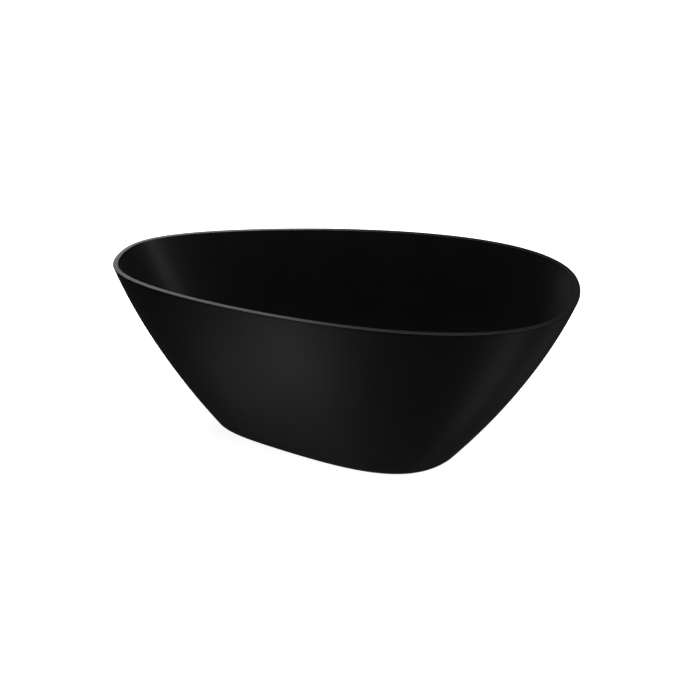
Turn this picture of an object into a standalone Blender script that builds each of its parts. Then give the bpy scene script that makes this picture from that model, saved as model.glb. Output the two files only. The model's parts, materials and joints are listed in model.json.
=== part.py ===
"""Freestanding double-skin bathtub: basin, skirt, base frame, levelling feet, waste, trap and overflow.

Metres, +Z up.  The origin is on the floor under the centre of the rim; +X is the broad end.
"""
import math

import bpy
import bmesh
import numpy as np
from mathutils import Matrix, Vector

# ---------------------------------------------------------------- driving dimensions
TUB_LENGTH = 1.600
TUB_WIDTH = 0.800
TUB_HEIGHT = 0.600
BASE_LENGTH = 0.905
BASE_WIDTH = 0.600
BASE_SHIFT = -0.004
FIT_GAP = 0.0003

# Plan forms: squareness of the ends, then how far the breadth leans to the first three harmonics.
RIM_FORM = (-0.078, 0.178, -0.096, -0.049)
BASE_FORM = (-0.030, 0.270, 0.080, -0.050)
OUTLINE_POINTS = 60

RIM_WIDTH = 0.018
RIM_THICKNESS = 0.006
RIM_EDGE = 0.0015
BASIN_THICKNESS = 0.006
FLOOR_LENGTH = 0.900
FLOOR_WIDTH = 0.420
FLOOR_HEIGHT = 0.145
FLOOR_FALL = 0.006
WALL_BOW = 0.36
WALL_BOW_DROP = 0.250
CORNER_REACH = 0.62

SKIRT_THICKNESS = 0.005
SKIRT_BULGE = 0.42
SKIRT_LIFT = 0.003
SKIRT_FOOT_RADIUS = 0.012
BOND_HEIGHT = 0.014
BOND_CLEARANCE = 0.0006

BOARD_THICKNESS = 0.012
BOARD_HOLE_SHARE = 0.12
BOARD_EDGE_SHARE = 0.94

TUBE_SIZE = 0.025
TUBE_WALL = 0.002
RAIL_SPACING = 0.170
RAIL_OVERHANG = 0.030
WIDE_CROSS_X = 0.290
CENTRE_CROSS_X = 0.110
NARROW_CROSS_X = -0.290
BOARD_BOLT_RADIUS = 0.003
BOARD_BOLT_HEAD_RADIUS = 0.0065
BOARD_BOLT_HEAD = 0.004
BOARD_BOLT_BITE = 0.009

BLOCK_DEPTH = 0.030
BLOCK_LENGTH = 0.060
BLOCK_HEIGHT = 0.050
BRACKET_THICKNESS = 0.003
BRACKET_WIDTH = 0.022
BRACKET_LEG = 0.028
BRACKET_FOOT = 0.034
BRACKET_HOLE_SHARE = 0.62
BRACKET_SCREW_RADIUS = 0.0025
BRACKET_SCREW_HEAD_RADIUS = 0.0048
BRACKET_SCREW_HEAD = 0.003
BRACKET_SCREW_LENGTH = 0.018

FOOT_INSET = 0.055
PAD_RADIUS = 0.025
PAD_THICKNESS = 0.005
PAD_NECK_RADIUS = 0.013
PAD_SHOULDER = 0.005
PAD_HEIGHT = 0.022
STUD_RADIUS = 0.006
STUD_TOP_CLEARANCE = 0.0045
STUD_SEAT = 0.008
STUD_CLEARANCE = 0.0005
STUD_SPANNER_RADIUS = 0.0105
STUD_SPANNER_HEIGHT = 0.009
NUT_RADIUS = 0.0110
NUT_HEIGHT = 0.010

DRAIN_X = -0.100
TAIL_RADIUS = 0.0245
TAIL_WALL = 0.003
TAIL_DEPTH = 0.027
DRAIN_HOLE_CLEARANCE = 0.0015
RECESS_DEPTH = 0.004
RECESS_CLEARANCE = 0.004
SEAL_THICKNESS = 0.0012
SEAL_INSET = 0.002
FLANGE_BRIM = 0.010
FLANGE_THICKNESS = 0.0020
SPOKE_RADIUS = 0.0020
SPOKE_RISE = 0.003
BOSS_HEIGHT = 0.006
BODY_SEAL_THICKNESS = 0.004
WASTE_BODY_MARGIN = 0.002
WASTE_BODY_WALL = 0.0052
WASTE_OUTLET_RADIUS = 0.0205
WASTE_OUTLET_DROP = 0.0289
PORT_WALL = 0.0015
PORT_END = 0.062

STEM_RADIUS = 0.0033
CARTRIDGE_RADIUS = 0.0070
CARTRIDGE_FLOOR = 0.0012
CARTRIDGE_DEPTH = 0.0075
CAP_INSET = 0.006
CAP_SEAT_GAP = 0.0005
CAP_CROWN = 0.0052
CAP_CORE_DEPTH = 0.0028
CAP_HUB_DEPTH = 0.0041
CAP_HUB_RADIUS = 0.0065
SPRING_WIRE_RADIUS = 0.0005
SPRING_RADIUS = 0.0052
SPRING_TURNS = 3.5

TRAP_RADIUS = 0.036
TRAP_WALL = 0.003
TRAP_BOTTOM = 0.010
TRAP_DROP = 0.018
CUP_WALL = 0.0027
CUP_FLOOR = 0.0035
CUP_HEIGHT = 0.016
INLET_RADIUS = 0.018
INLET_WALL = 0.0035
INLET_COLLAR = 0.002
INLET_COLLAR_HEIGHT = 0.0025
TRAP_SEAL_THICKNESS = 0.003
WATER_SEAL = 0.0135
OUTLET_RADIUS = 0.017
OUTLET_WALL = 0.0025
OUTLET_DROP = 0.018
OUTLET_REACH = 0.125
OUTLET_NUT_INSET = 0.012
OUTLET_NUT_WALL = 0.007
OUTLET_SEAL_WIDTH = 0.0035
OUTLET_SEAL_LENGTH = 0.004
UNION_RADIUS = 0.029
UNION_RISE = 0.010
UNION_LIP = 0.006

OVERFLOW_DROP = 0.120
OVERFLOW_HOLE_RADIUS = 0.0212
OVERFLOW_NECK_RADIUS = 0.0205
OVERFLOW_FLANGE_RADIUS = 0.029
OVERFLOW_DEPTH = 0.0235
OVERFLOW_COVER_RADIUS = 0.030
OVERFLOW_COVER_STAND = 0.0045
BARB_RADIUS = 0.0060
BARB_DEPTH = 0.0160
BARB_LENGTH = 0.045
OVERFLOW_SCREW_RADIUS = 0.0020
HOSE_WALL = 0.0015
HOSE_OVER_RAIL = 0.002
HOSE_FALL_SHARES = (0.330 / 0.600, 0.250 / 0.600)
HOSE_BEND_SHARE = 0.235 / 0.600
HOSE_LEVEL_SHARE = 0.175 / 0.600
HOSE_BEND_RISE = 0.035

ROUND_SEGMENTS = 20
SMALL_SEGMENTS = 12

# ---------------------------------------------------------------- places that follow from them
BASIN_SEAT = FLOOR_HEIGHT - RECESS_DEPTH
BASIN_UNDERSIDE = BASIN_SEAT - BASIN_THICKNESS
BOARD_BOTTOM = FLOOR_HEIGHT - BASIN_THICKNESS - FIT_GAP - BOARD_THICKNESS
CROSS_TOP = BOARD_BOTTOM - FIT_GAP
CROSS_BOTTOM = CROSS_TOP - TUBE_SIZE
RAIL_TOP = CROSS_BOTTOM - FIT_GAP
RAIL_Y = RAIL_SPACING / 2
DRAIN = Vector((DRAIN_X, 0.0, 0.0))
DRAIN_HOLE_RADIUS = TAIL_RADIUS + DRAIN_HOLE_CLEARANCE
FLANGE_RADIUS = DRAIN_HOLE_RADIUS + FLANGE_BRIM
RECESS_RADIUS = FLANGE_RADIUS + RECESS_CLEARANCE
WASTE_BODY_RADIUS = RECESS_RADIUS + WASTE_BODY_MARGIN
FLANGE_LOW = BASIN_SEAT + SEAL_THICKNESS + 2 * FIT_GAP
FLANGE_TOP = FLANGE_LOW + FLANGE_THICKNESS
TAIL_BORE = TAIL_RADIUS - TAIL_WALL
TAIL_END = BASIN_SEAT - TAIL_DEPTH
BOSS_TOP = TAIL_END + BOSS_HEIGHT
CAP_RADIUS = FLANGE_RADIUS - CAP_INSET
CARTRIDGE_TOP = BASIN_SEAT - CARTRIDGE_DEPTH
HOSE_RADIUS = BARB_RADIUS + FIT_GAP + HOSE_WALL
PORT_HEIGHT = RAIL_TOP + HOSE_RADIUS + HOSE_OVER_RAIL
WASTE_OUTLET_END = PORT_HEIGHT - WASTE_OUTLET_DROP
TRAP_ROOF = WASTE_OUTLET_END - TRAP_DROP
OUTLET_HEIGHT = TRAP_ROOF - OUTLET_DROP
INLET_DIP = OUTLET_HEIGHT - OUTLET_RADIUS + OUTLET_WALL - WATER_SEAL


# ---------------------------------------------------------------- materials and mesh helpers
def finish(name, colour, roughness, metallic=0.0):
    """Principled material with one colour."""
    material = bpy.data.materials.new(name)
    material.use_nodes = True
    shader = material.node_tree.nodes["Principled BSDF"]
    shader.inputs["Base Color"].default_value = (*colour, 1.0)
    shader.inputs["Roughness"].default_value = roughness
    shader.inputs["Metallic"].default_value = metallic
    return material


def add_object(name, mesh, material, smooth=True, matrix=None):
    """Link a mesh as a named object, shaded smooth between its sharp edges."""
    part = bpy.data.objects.new(name, mesh)
    bpy.context.scene.collection.objects.link(part)
    mesh.materials.append(material)
    if smooth:
        mesh.shade_smooth()
        mesh.set_sharp_from_angle(angle=math.radians(35.0))
    if matrix is not None:
        part.matrix_world = matrix
    return part


def ring_mesh(name, rings, closed=True):
    """Mesh through rings of equal point counts: a closed loop of rings, or a solid capped at both ends."""
    count = len(rings[0])
    points = np.concatenate([np.asarray(ring, dtype=float) for ring in rings])
    spans = len(rings) if closed else len(rings) - 1
    faces = []
    for row in range(spans):
        here = row * count
        there = ((row + 1) % len(rings)) * count
        for column in range(count):
            after = (column + 1) % count
            faces.append((here + column, here + after, there + after, there + column))
    if not closed:
        last = (len(rings) - 1) * count
        faces.append(tuple(range(count)))
        faces.append(tuple(range(last, last + count)))
    mesh = bpy.data.meshes.new(name)
    mesh.from_pydata([tuple(point) for point in points], [], faces)
    work = bmesh.new()
    work.from_mesh(mesh)
    bmesh.ops.recalc_face_normals(work, faces=work.faces)
    work.to_mesh(mesh)
    work.free()
    return mesh


def circle(radius, height, segments=ROUND_SEGMENTS, centre=(0.0, 0.0)):
    """Level circle of points."""
    angle = 2 * math.pi * np.arange(segments) / segments
    level = np.full(segments, height)
    return np.stack([centre[0] + radius * np.cos(angle), centre[1] + radius * np.sin(angle), level], axis=1)


def turned(name, section, material, matrix=None, solid=False, segments=ROUND_SEGMENTS):
    """Body turned about Z from (radius, height) points: a ring, or a solid capped at both ends."""
    rings = [circle(radius, height, segments) for radius, height in section]
    return add_object(name, ring_mesh(name, rings, closed=not solid), material, matrix=matrix)


def rod(name, radius, start, end, material, segments=ROUND_SEGMENTS):
    """Round bar between two points."""
    start = Vector(start)
    span = Vector(end) - start
    turn = span.to_track_quat("Z", "Y").to_matrix().to_4x4()
    section = [(radius, 0.0), (radius, span.length)]
    return turned(name, section, material, Matrix.Translation(start) @ turn, True, segments)


def square_tube(name, centre, length, along, material):
    """Open-ended square steel tube along X or Y."""
    outer = TUBE_SIZE / 2
    inner = outer - TUBE_WALL
    rings = []
    for half, end in ((outer, -1), (outer, 1), (inner, 1), (inner, -1)):
        across = np.array([-half, half, half, -half])
        up = np.array([-half, -half, half, half])
        reach = np.full(4, end * length / 2)
        order = (reach, across, up) if along == "X" else (across, reach, up)
        rings.append(np.stack(order, axis=1) + np.asarray(centre))
    return add_object(name, ring_mesh(name, rings), material, smooth=False)


def combine(target, tool, operation="DIFFERENCE"):
    """Boolean modifier on target; the tool is kept hidden as a guide."""
    modifier = target.modifiers.new(operation.lower(), "BOOLEAN")
    modifier.operation = operation
    modifier.object = tool
    tool.hide_render = True
    tool.display_type = "WIRE"


def drill(target, radius, start, end, segments=SMALL_SEGMENTS):
    """Round hole through target between two points."""
    combine(target, rod(target.name + "_drill", radius, start, end, GUIDE, segments))


# ---------------------------------------------------------------- the tub's two surfaces
def plan_outline(length, width, form, points):
    """Egg-shaped plan: a cosine along X with a third harmonic, a sine across Y leaning to the broad end."""
    square, first, second, third = form
    angle = 2 * math.pi * np.arange(points) / points
    fine = np.linspace(0.0, math.pi, 721)

    def breadth(turn):
        lean = first * np.cos(turn) + second * np.cos(2 * turn) + third * np.cos(3 * turn)
        return np.sin(turn) * (1 + lean)

    x = length / 2 * (np.cos(angle) + square * np.cos(3 * angle)) / (1 + square)
    y = width / 2 * breadth(angle) / breadth(fine).max()
    return np.stack([x, y], axis=1)


def inset_plan(plan, distance):
    """Plan outline moved inwards along its own normals."""
    tangent = np.roll(plan, -1, axis=0) - np.roll(plan, 1, axis=0)
    normal = np.stack([-tangent[:, 1], tangent[:, 0]], axis=1)
    normal /= np.linalg.norm(normal, axis=1)[:, None]
    return plan + distance * normal


def at_height(plan, height):
    """Plan outline as a ring of 3-D points."""
    return np.column_stack([plan, np.broadcast_to(height, len(plan))])


def skirt_ring(height, inset=0.0, points=OUTLINE_POINTS):
    """Level ring of the skirt's outer face, moved inwards by inset.

    The outline goes from base to rim by a parabola in height, steeper at the top, and the lowest
    edge turns under on a quarter circle.
    """
    rise = height / TUB_HEIGHT
    spread = (1 + SKIRT_BULGE) * rise - SKIRT_BULGE * rise**2
    base = plan_outline(BASE_LENGTH, BASE_WIDTH, BASE_FORM, points) + (BASE_SHIFT, 0.0)
    rim = plan_outline(TUB_LENGTH, TUB_WIDTH, RIM_FORM, points)
    below = max(SKIRT_FOOT_RADIUS - height, 0.0)
    turn_under = SKIRT_FOOT_RADIUS - math.sqrt(SKIRT_FOOT_RADIUS**2 - below**2)
    return at_height(inset_plan(base + (rim - base) * spread, inset + turn_under), height)


def skirt_heights():
    """Heights of the rings of the skirt's wall, from the top of its foot to the bond's foot."""
    return np.linspace(SKIRT_FOOT_RADIUS, TUB_HEIGHT - RIM_THICKNESS - FIT_GAP - BOND_HEIGHT, 6)


def skirt_flat(height, inset):
    """Level ring on the flats between the rings of the skirt's wall, moved inwards by inset."""
    heights = skirt_heights()
    above = np.searchsorted(heights, height)
    low, high = heights[above - 1], heights[above]
    share = (height - low) / (high - low)
    return skirt_ring(low, inset) * (1 - share) + skirt_ring(high, inset) * share


def basin_face(place, points=OUTLINE_POINTS):
    """Ring of the basin's inner face: place 0 to 1 runs down the wall, 1 to 2 in along the floor.

    The wall's section is one cubic Bezier curve from the rim to the floor's edge, and the floor
    closes from its egg outline to the waste recess's circle as it falls to the waste.
    """
    rim = inset_plan(plan_outline(TUB_LENGTH, TUB_WIDTH, RIM_FORM, points), RIM_WIDTH)
    floor = plan_outline(FLOOR_LENGTH, FLOOR_WIDTH, BASE_FORM, points)
    edge_height = FLOOR_HEIGHT + FLOOR_FALL
    if place <= 1.0:
        rest = 1 - place
        inwards = 3 * rest**2 * place * WALL_BOW + 3 * rest * place**2 * CORNER_REACH + place**3
        top = TUB_HEIGHT - RIM_EDGE
        height = rest**3 * top + 3 * rest**2 * place * (TUB_HEIGHT - WALL_BOW_DROP)
        height += (3 * rest * place**2 + place**3) * edge_height
        return at_height(rim + (floor - rim) * inwards, height)
    share = 2 - place
    recess = circle(RECESS_RADIUS, 0.0, points, (DRAIN_X, 0.0))[:, :2]
    return at_height(recess + (floor - recess) * share, FLOOR_HEIGHT + FLOOR_FALL * share)


def basin_back(place, distance, points=OUTLINE_POINTS):
    """Ring of the basin's inner face moved outwards, away from the bather, along its normals."""
    ring = basin_face(place, points)
    step = 0.004
    down = basin_face(min(place + step, 2.0), points) - basin_face(max(place - step, 0.0), points)
    around = np.roll(ring, -1, axis=0) - np.roll(ring, 1, axis=0)
    normal = np.cross(around, down)
    normal /= np.linalg.norm(normal, axis=1)[:, None]
    return ring - distance * normal


def wall_place(height):
    """Place down the basin's wall where its inner face is at a height."""
    low, high = 0.0, 1.0
    for _ in range(40):
        middle = (low + high) / 2
        if basin_face(middle)[0, 2] > height:
            low = middle
        else:
            high = middle
    return (low + high) / 2


def basin_level(height, distance, points=OUTLINE_POINTS):
    """Level ring where the basin's wall, moved outwards by distance, is at a height."""
    rings = np.array([basin_back(place, distance, points) for place in np.linspace(0.0, 1.0, 61)])
    level = []
    for column in rings.swapaxes(0, 1):
        level.append([np.interp(-height, -column[:, 2], column[:, axis]) for axis in (0, 1)])
    return at_height(np.array(level), height)


def near_side(ring, x):
    """Point of a ring at an x, on the -Y side."""
    side = ring[ring[:, 1] < 0]
    side = side[np.argsort(side[:, 0])]
    return np.array([x, np.interp(x, side[:, 0], side[:, 1]), np.interp(x, side[:, 0], side[:, 2])])


# ---------------------------------------------------------------- shells
def make_basin_shell(material, overflow):
    """Basin with its flat rim, waste recess and waste hole, and the overflow hole drilled."""
    rim_under = TUB_HEIGHT - RIM_THICKNESS
    wall = (0.0, 0.05, 0.12, 0.22, 0.34, 0.46, 0.58, 0.70, 0.85)
    floor = (1.0, 1.50, 2.0)
    under = (1.90, 1.0, 0.85, 0.70, 0.52, 0.34, 0.16)
    rings = [skirt_ring(rim_under)]
    rings.append(skirt_ring(TUB_HEIGHT - RIM_EDGE))
    rings.append(skirt_ring(TUB_HEIGHT, RIM_EDGE))
    rings.append(skirt_ring(TUB_HEIGHT, RIM_WIDTH - RIM_EDGE))
    rings.extend(basin_face(place) for place in wall + floor)
    centre = (DRAIN_X, 0.0)
    rings.append(circle(RECESS_RADIUS - 0.001, BASIN_SEAT, OUTLINE_POINTS, centre))
    for height in (BASIN_SEAT, BASIN_UNDERSIDE):
        rings.append(circle(DRAIN_HOLE_RADIUS, height, OUTLINE_POINTS, centre))
    rings.append(circle(RECESS_RADIUS + BASIN_THICKNESS, BASIN_UNDERSIDE, OUTLINE_POINTS, centre))
    rings.extend(basin_back(place, BASIN_THICKNESS) for place in under)
    rings.append(basin_level(rim_under - BOND_HEIGHT, BASIN_THICKNESS))
    rings.append(basin_level(rim_under, BASIN_THICKNESS))
    shell = add_object("basin_shell", ring_mesh("basin_shell", rings), material)
    start = overflow @ Vector((0.0, 0.0, -3 * BASIN_THICKNESS))
    end = overflow @ Vector((0.0, 0.0, 2 * BASIN_THICKNESS))
    drill(shell, OVERFLOW_HOLE_RADIUS, start, end, ROUND_SEGMENTS)
    return shell


def make_outer_skirt(material):
    """Skirt from just off the floor to just under the rim, one wall thick, open at both ends."""
    top = TUB_HEIGHT - RIM_THICKNESS - FIT_GAP
    wall = list(skirt_heights())
    outside = [SKIRT_LIFT, SKIRT_FOOT_RADIUS / 2] + wall + [top]
    inside = [SKIRT_LIFT] + wall + [top]
    rings = [skirt_ring(height) for height in outside]
    rings.extend(skirt_ring(height, SKIRT_THICKNESS) for height in reversed(inside))
    return add_object("outer_skirt", ring_mesh("outer_skirt", rings), material)


def make_rim_bond(material):
    """Adhesive bead that fills the slot between basin and skirt under the rim."""
    top = TUB_HEIGHT - RIM_THICKNESS - BOND_CLEARANCE
    bottom = top - BOND_HEIGHT + BOND_CLEARANCE
    rings = []
    for height in (top, bottom):
        rings.append(skirt_ring(height, SKIRT_THICKNESS + BOND_CLEARANCE))
    for height in (bottom, top):
        rings.append(basin_level(height, BASIN_THICKNESS + BOND_CLEARANCE))
    return add_object("rim_bond", ring_mesh("rim_bond", rings), material, smooth=False)


def make_floor_board(material):
    """Board under the basin's floor: its top follows the basin's underside, its bottom is flat."""
    shares = (BOARD_EDGE_SHARE, BOARD_HOLE_SHARE)
    rings = [basin_back(2 - share, BASIN_THICKNESS + FIT_GAP) for share in shares]
    for share in (BOARD_HOLE_SHARE, BOARD_EDGE_SHARE):
        ring = basin_back(2 - share, BASIN_THICKNESS + FIT_GAP)
        ring[:, 2] = BOARD_BOTTOM
        rings.append(ring)
    return add_object("floor_board", ring_mesh("floor_board", rings), material, smooth=False)


# ---------------------------------------------------------------- base frame
def make_rails(material):
    """Two rails along the tub, under the cross members."""
    length = WIDE_CROSS_X - NARROW_CROSS_X + 2 * RAIL_OVERHANG
    middle = (WIDE_CROSS_X + NARROW_CROSS_X) / 2
    height = RAIL_TOP - TUBE_SIZE / 2
    for side, name in ((-1, "side_rail_front"), (1, "side_rail_rear")):
        square_tube(name, (middle, side * RAIL_Y, height), length, "X", material)


def block_face(x):
    """Distance from the centre line to a skirt block's flat inner face, at a cross member."""
    ring = skirt_ring(CROSS_BOTTOM + FIT_GAP, SKIRT_THICKNESS)
    ends = (x - BLOCK_LENGTH / 2, x + BLOCK_LENGTH / 2)
    return min(-near_side(ring, end)[1] for end in ends) - BLOCK_DEPTH


def make_cross_members(material):
    """Three cross members on the rails; the outer two reach to the skirt blocks."""
    height = CROSS_TOP - TUBE_SIZE / 2
    members = {}
    for name, x in (("wide", WIDE_CROSS_X), ("narrow", NARROW_CROSS_X)):
        length = 2 * (block_face(x) - FIT_GAP)
        members[name] = square_tube("cross_member_" + name, (x, 0.0, height), length, "Y", material)
    length = RAIL_SPACING + 2 * TUBE_SIZE
    centre = (CENTRE_CROSS_X, 0.0, height)
    members["centre"] = square_tube("cross_member_centre", centre, length, "Y", material)
    return members


def make_board_bolts(members, board, material):
    """Bolts up through the outer cross members into the floor board, one each side of the middle."""
    number = 0
    for name, x in (("wide", WIDE_CROSS_X), ("narrow", NARROW_CROSS_X)):
        for side in (-1, 1):
            number += 1
            place = Matrix.Translation((x, side * RAIL_Y / 2, 0.0))
            head_top = CROSS_BOTTOM - FIT_GAP
            tip = BOARD_BOTTOM + BOARD_BOLT_BITE
            wide = BOARD_BOLT_HEAD_RADIUS
            section = [(wide, head_top - BOARD_BOLT_HEAD), (wide, head_top)]
            section.extend([(BOARD_BOLT_RADIUS, head_top), (BOARD_BOLT_RADIUS, tip)])
            turned("board_bolt_%d" % number, section, material, place, True, SMALL_SEGMENTS)
            hole = BOARD_BOLT_RADIUS + STUD_CLEARANCE
            low = place @ Vector((0.0, 0.0, CROSS_BOTTOM - TUBE_SIZE / 2))
            high = place @ Vector((0.0, 0.0, tip + STUD_CLEARANCE))
            drill(members[name], hole, low, high)
            drill(board, hole, low, high)


def make_skirt_mounting(block_material, steel, zinc):
    """Blocks bonded inside the skirt, brackets on the cross members' ends, and a screw through each."""
    number = 0
    low = CROSS_BOTTOM + FIT_GAP
    for x in (WIDE_CROSS_X, NARROW_CROSS_X):
        face = block_face(x)
        for side in (-1, 1):
            number += 1
            rows = []
            for height in np.linspace(low, low + BLOCK_HEIGHT, 3):
                ring = skirt_flat(height, SKIRT_THICKNESS + BOND_CLEARANCE)
                across = np.linspace(x - BLOCK_LENGTH / 2, x + BLOCK_LENGTH / 2, 5)
                outer = [near_side(ring, place) for place in across]
                inner = [np.array([place, -face, height]) for place in across[::-1]]
                rows.append(np.array(outer + inner) * (1, -side, 1))
            name = "skirt_block_%d" % number
            body = add_object(name, ring_mesh(name, rows, closed=False), block_material, smooth=False)
            make_bracket(number, x, side, face, body, steel, zinc)


def make_bracket(number, x, side, face, body, steel, zinc):
    """Angle bracket on top of a cross member's end, standing against the block's inner face."""
    foot = CROSS_TOP + FIT_GAP
    inner = face - FIT_GAP
    half = BRACKET_WIDTH / 2
    back = inner - BRACKET_THICKNESS
    upper = foot + BRACKET_THICKNESS
    outline = [(inner, foot), (inner, foot + BRACKET_LEG), (back, foot + BRACKET_LEG), (back, upper)]
    outline.extend([(inner - BRACKET_FOOT, upper), (inner - BRACKET_FOOT, foot)])
    rings = []
    for edge in (x - half, x + half):
        rings.append(np.array([(edge, side * y, z) for y, z in outline]))
    name = "skirt_bracket_%d" % number
    bracket = add_object(name, ring_mesh(name, rings, closed=False), steel, smooth=False)
    height = foot + BRACKET_LEG * BRACKET_HOLE_SHARE
    head_seat = back - FIT_GAP
    outwards = Vector((0.0, side, 0.0)).to_track_quat("Z", "Y").to_matrix().to_4x4()
    place = Matrix.Translation((x, side * head_seat, height)) @ outwards
    section = [(BRACKET_SCREW_HEAD_RADIUS, -BRACKET_SCREW_HEAD), (BRACKET_SCREW_HEAD_RADIUS, 0.0)]
    section.extend([(BRACKET_SCREW_RADIUS, 0.0), (BRACKET_SCREW_RADIUS, BRACKET_SCREW_LENGTH)])
    turned("bracket_screw_%d" % number, section, zinc, place, True, SMALL_SEGMENTS)
    start = (x, side * (head_seat - BRACKET_THICKNESS), height)
    end = (x, side * (head_seat + BRACKET_SCREW_LENGTH + STUD_CLEARANCE), height)
    hole = BRACKET_SCREW_RADIUS + STUD_CLEARANCE
    drill(bracket, hole, start, end)
    drill(body, hole, start, end)


# ---------------------------------------------------------------- levelling feet
def foot_places():
    """Cross member and plan position of each levelling foot."""
    places = []
    for name, x in (("wide", WIDE_CROSS_X), ("narrow", NARROW_CROSS_X)):
        reach = block_face(x) - FOOT_INSET
        places.extend([(name, x, -reach), (name, x, reach)])
    places.append(("centre", CENTRE_CROSS_X, 0.0))
    return places


def make_feet(members, rubber, zinc):
    """Each foot: a pad on the floor, a threaded stud that turns on it, and a lock nut under the tube."""
    top = CROSS_TOP - TUBE_WALL - STUD_TOP_CLEARANCE
    bore = STUD_RADIUS + STUD_CLEARANCE
    nut_top = CROSS_BOTTOM - FIT_GAP
    nut_low = nut_top - NUT_HEIGHT
    corners_and_flats = 12
    for number, (member, x, y) in enumerate(foot_places(), start=1):
        place = Matrix.Translation((x, y, 0.0))
        pad = [(PAD_RADIUS, 0.0), (PAD_RADIUS, PAD_THICKNESS)]
        pad.extend([(PAD_NECK_RADIUS, PAD_THICKNESS + PAD_SHOULDER), (PAD_NECK_RADIUS, PAD_HEIGHT)])
        pad.extend([(bore, PAD_HEIGHT), (bore, STUD_SEAT - FIT_GAP)])
        turned("foot_pad_%d" % number, pad, rubber, place, True)
        stud = rod("foot_stud_%d" % number, STUD_RADIUS, (0, 0, STUD_SEAT), (0, 0, top), zinc, SMALL_SEGMENTS)
        stud.matrix_world = place @ stud.matrix_world
        spanner_low = Vector((x, y, PAD_HEIGHT + STUD_CLEARANCE))
        spanner_high = spanner_low + Vector((0.0, 0.0, STUD_SPANNER_HEIGHT))
        collar = rod("foot_collar_%d" % number, STUD_SPANNER_RADIUS, spanner_low, spanner_high, zinc, 6)
        combine(stud, collar, "UNION")
        nut_rings = [circle(NUT_RADIUS, height, corners_and_flats) for height in (nut_low, nut_top)]
        for ring in nut_rings:
            ring[1::2, :2] *= math.cos(math.radians(30.0))
        nut_rings.extend(circle(bore, height, corners_and_flats) for height in (nut_top, nut_low))
        name = "foot_lock_nut_%d" % number
        add_object(name, ring_mesh(name, nut_rings), zinc, smooth=False, matrix=place)
        drill(members[member], bore, (x, y, nut_low), (x, y, CROSS_BOTTOM + 2 * TUBE_WALL))


# ---------------------------------------------------------------- bath waste and plug
def make_waste(black, rubber, plastic):
    """Flange in the basin's recess, seals above and below the floor, and the waste body underneath."""
    place = Matrix.Translation(DRAIN)
    seal_low = BASIN_SEAT + FIT_GAP
    seal_high = seal_low + SEAL_THICKNESS
    seal_edge = FLANGE_RADIUS - SEAL_INSET
    seal = [(DRAIN_HOLE_RADIUS, seal_low), (seal_edge, seal_low), (seal_edge, seal_high)]
    seal.append((DRAIN_HOLE_RADIUS, seal_high))
    turned("flange_seal", seal, rubber, place)

    flange = [(FLANGE_RADIUS, FLANGE_LOW), (FLANGE_RADIUS, FLANGE_TOP - 0.0008)]
    flange.extend([(FLANGE_RADIUS - 0.0015, FLANGE_TOP), (CAP_RADIUS - 0.001, FLANGE_TOP)])
    flange.extend([(TAIL_BORE, FLANGE_TOP - 0.0045), (TAIL_BORE, TAIL_END)])
    flange.extend([(TAIL_RADIUS, TAIL_END), (TAIL_RADIUS, FLANGE_LOW)])
    body = turned("waste_flange", flange, black, place)
    height = Vector((0.0, 0.0, TAIL_END + SPOKE_RISE))
    for axis in (Vector((1.0, 0.0, 0.0)), Vector((0.0, 1.0, 0.0))):
        reach = axis * (TAIL_BORE + TAIL_WALL / 2)
        bar = rod("flange_spoke", SPOKE_RADIUS, DRAIN + height - reach, DRAIN + height + reach, black, 8)
        combine(body, bar, "UNION")
    boss_low = DRAIN + Vector((0.0, 0.0, TAIL_END + 0.0005))
    boss_high = DRAIN + Vector((0.0, 0.0, BOSS_TOP))
    boss = rod("flange_boss", CARTRIDGE_RADIUS - 0.0005, boss_low, boss_high, black, SMALL_SEGMENTS)
    combine(body, boss, "UNION")

    low_seal_top = BASIN_UNDERSIDE - FIT_GAP
    low_seal_bottom = low_seal_top - BODY_SEAL_THICKNESS
    hole = DRAIN_HOLE_RADIUS + 0.001
    low_seal = [(hole, low_seal_bottom), (WASTE_BODY_RADIUS - 0.002, low_seal_bottom)]
    low_seal.extend([(WASTE_BODY_RADIUS - 0.003, low_seal_top), (hole, low_seal_top)])
    turned("body_seal", low_seal, rubber, place)

    top = low_seal_bottom - FIT_GAP
    inner = TAIL_RADIUS + FIT_GAP
    wide = inner + WASTE_BODY_WALL
    cone_top = PORT_HEIGHT - BARB_RADIUS - 0.0015
    throat = WASTE_OUTLET_RADIUS - 0.003
    section = [(WASTE_BODY_RADIUS, top), (WASTE_BODY_RADIUS, top - 0.004), (wide, top - 0.004)]
    section.extend([(wide, cone_top), (WASTE_OUTLET_RADIUS, cone_top - 0.007)])
    section.extend([(WASTE_OUTLET_RADIUS, WASTE_OUTLET_END), (throat, WASTE_OUTLET_END)])
    section.extend([(throat, cone_top - 0.005), (inner, cone_top + 0.001), (inner, top)])
    waste = turned("waste_body", section, plastic, place)
    port = DRAIN + Vector((0.0, 0.0, PORT_HEIGHT))
    start = port + Vector((0.0, -(inner + 0.003), 0.0))
    end = port + Vector((0.0, -PORT_END, 0.0))
    combine(waste, rod("waste_port", BARB_RADIUS, start, end, plastic, SMALL_SEGMENTS), "UNION")
    inside = port + Vector((0.0, 0.004 - inner, 0.0))
    drill(waste, BARB_RADIUS - PORT_WALL, inside, end - Vector((0.0, 0.002, 0.0)))


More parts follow.
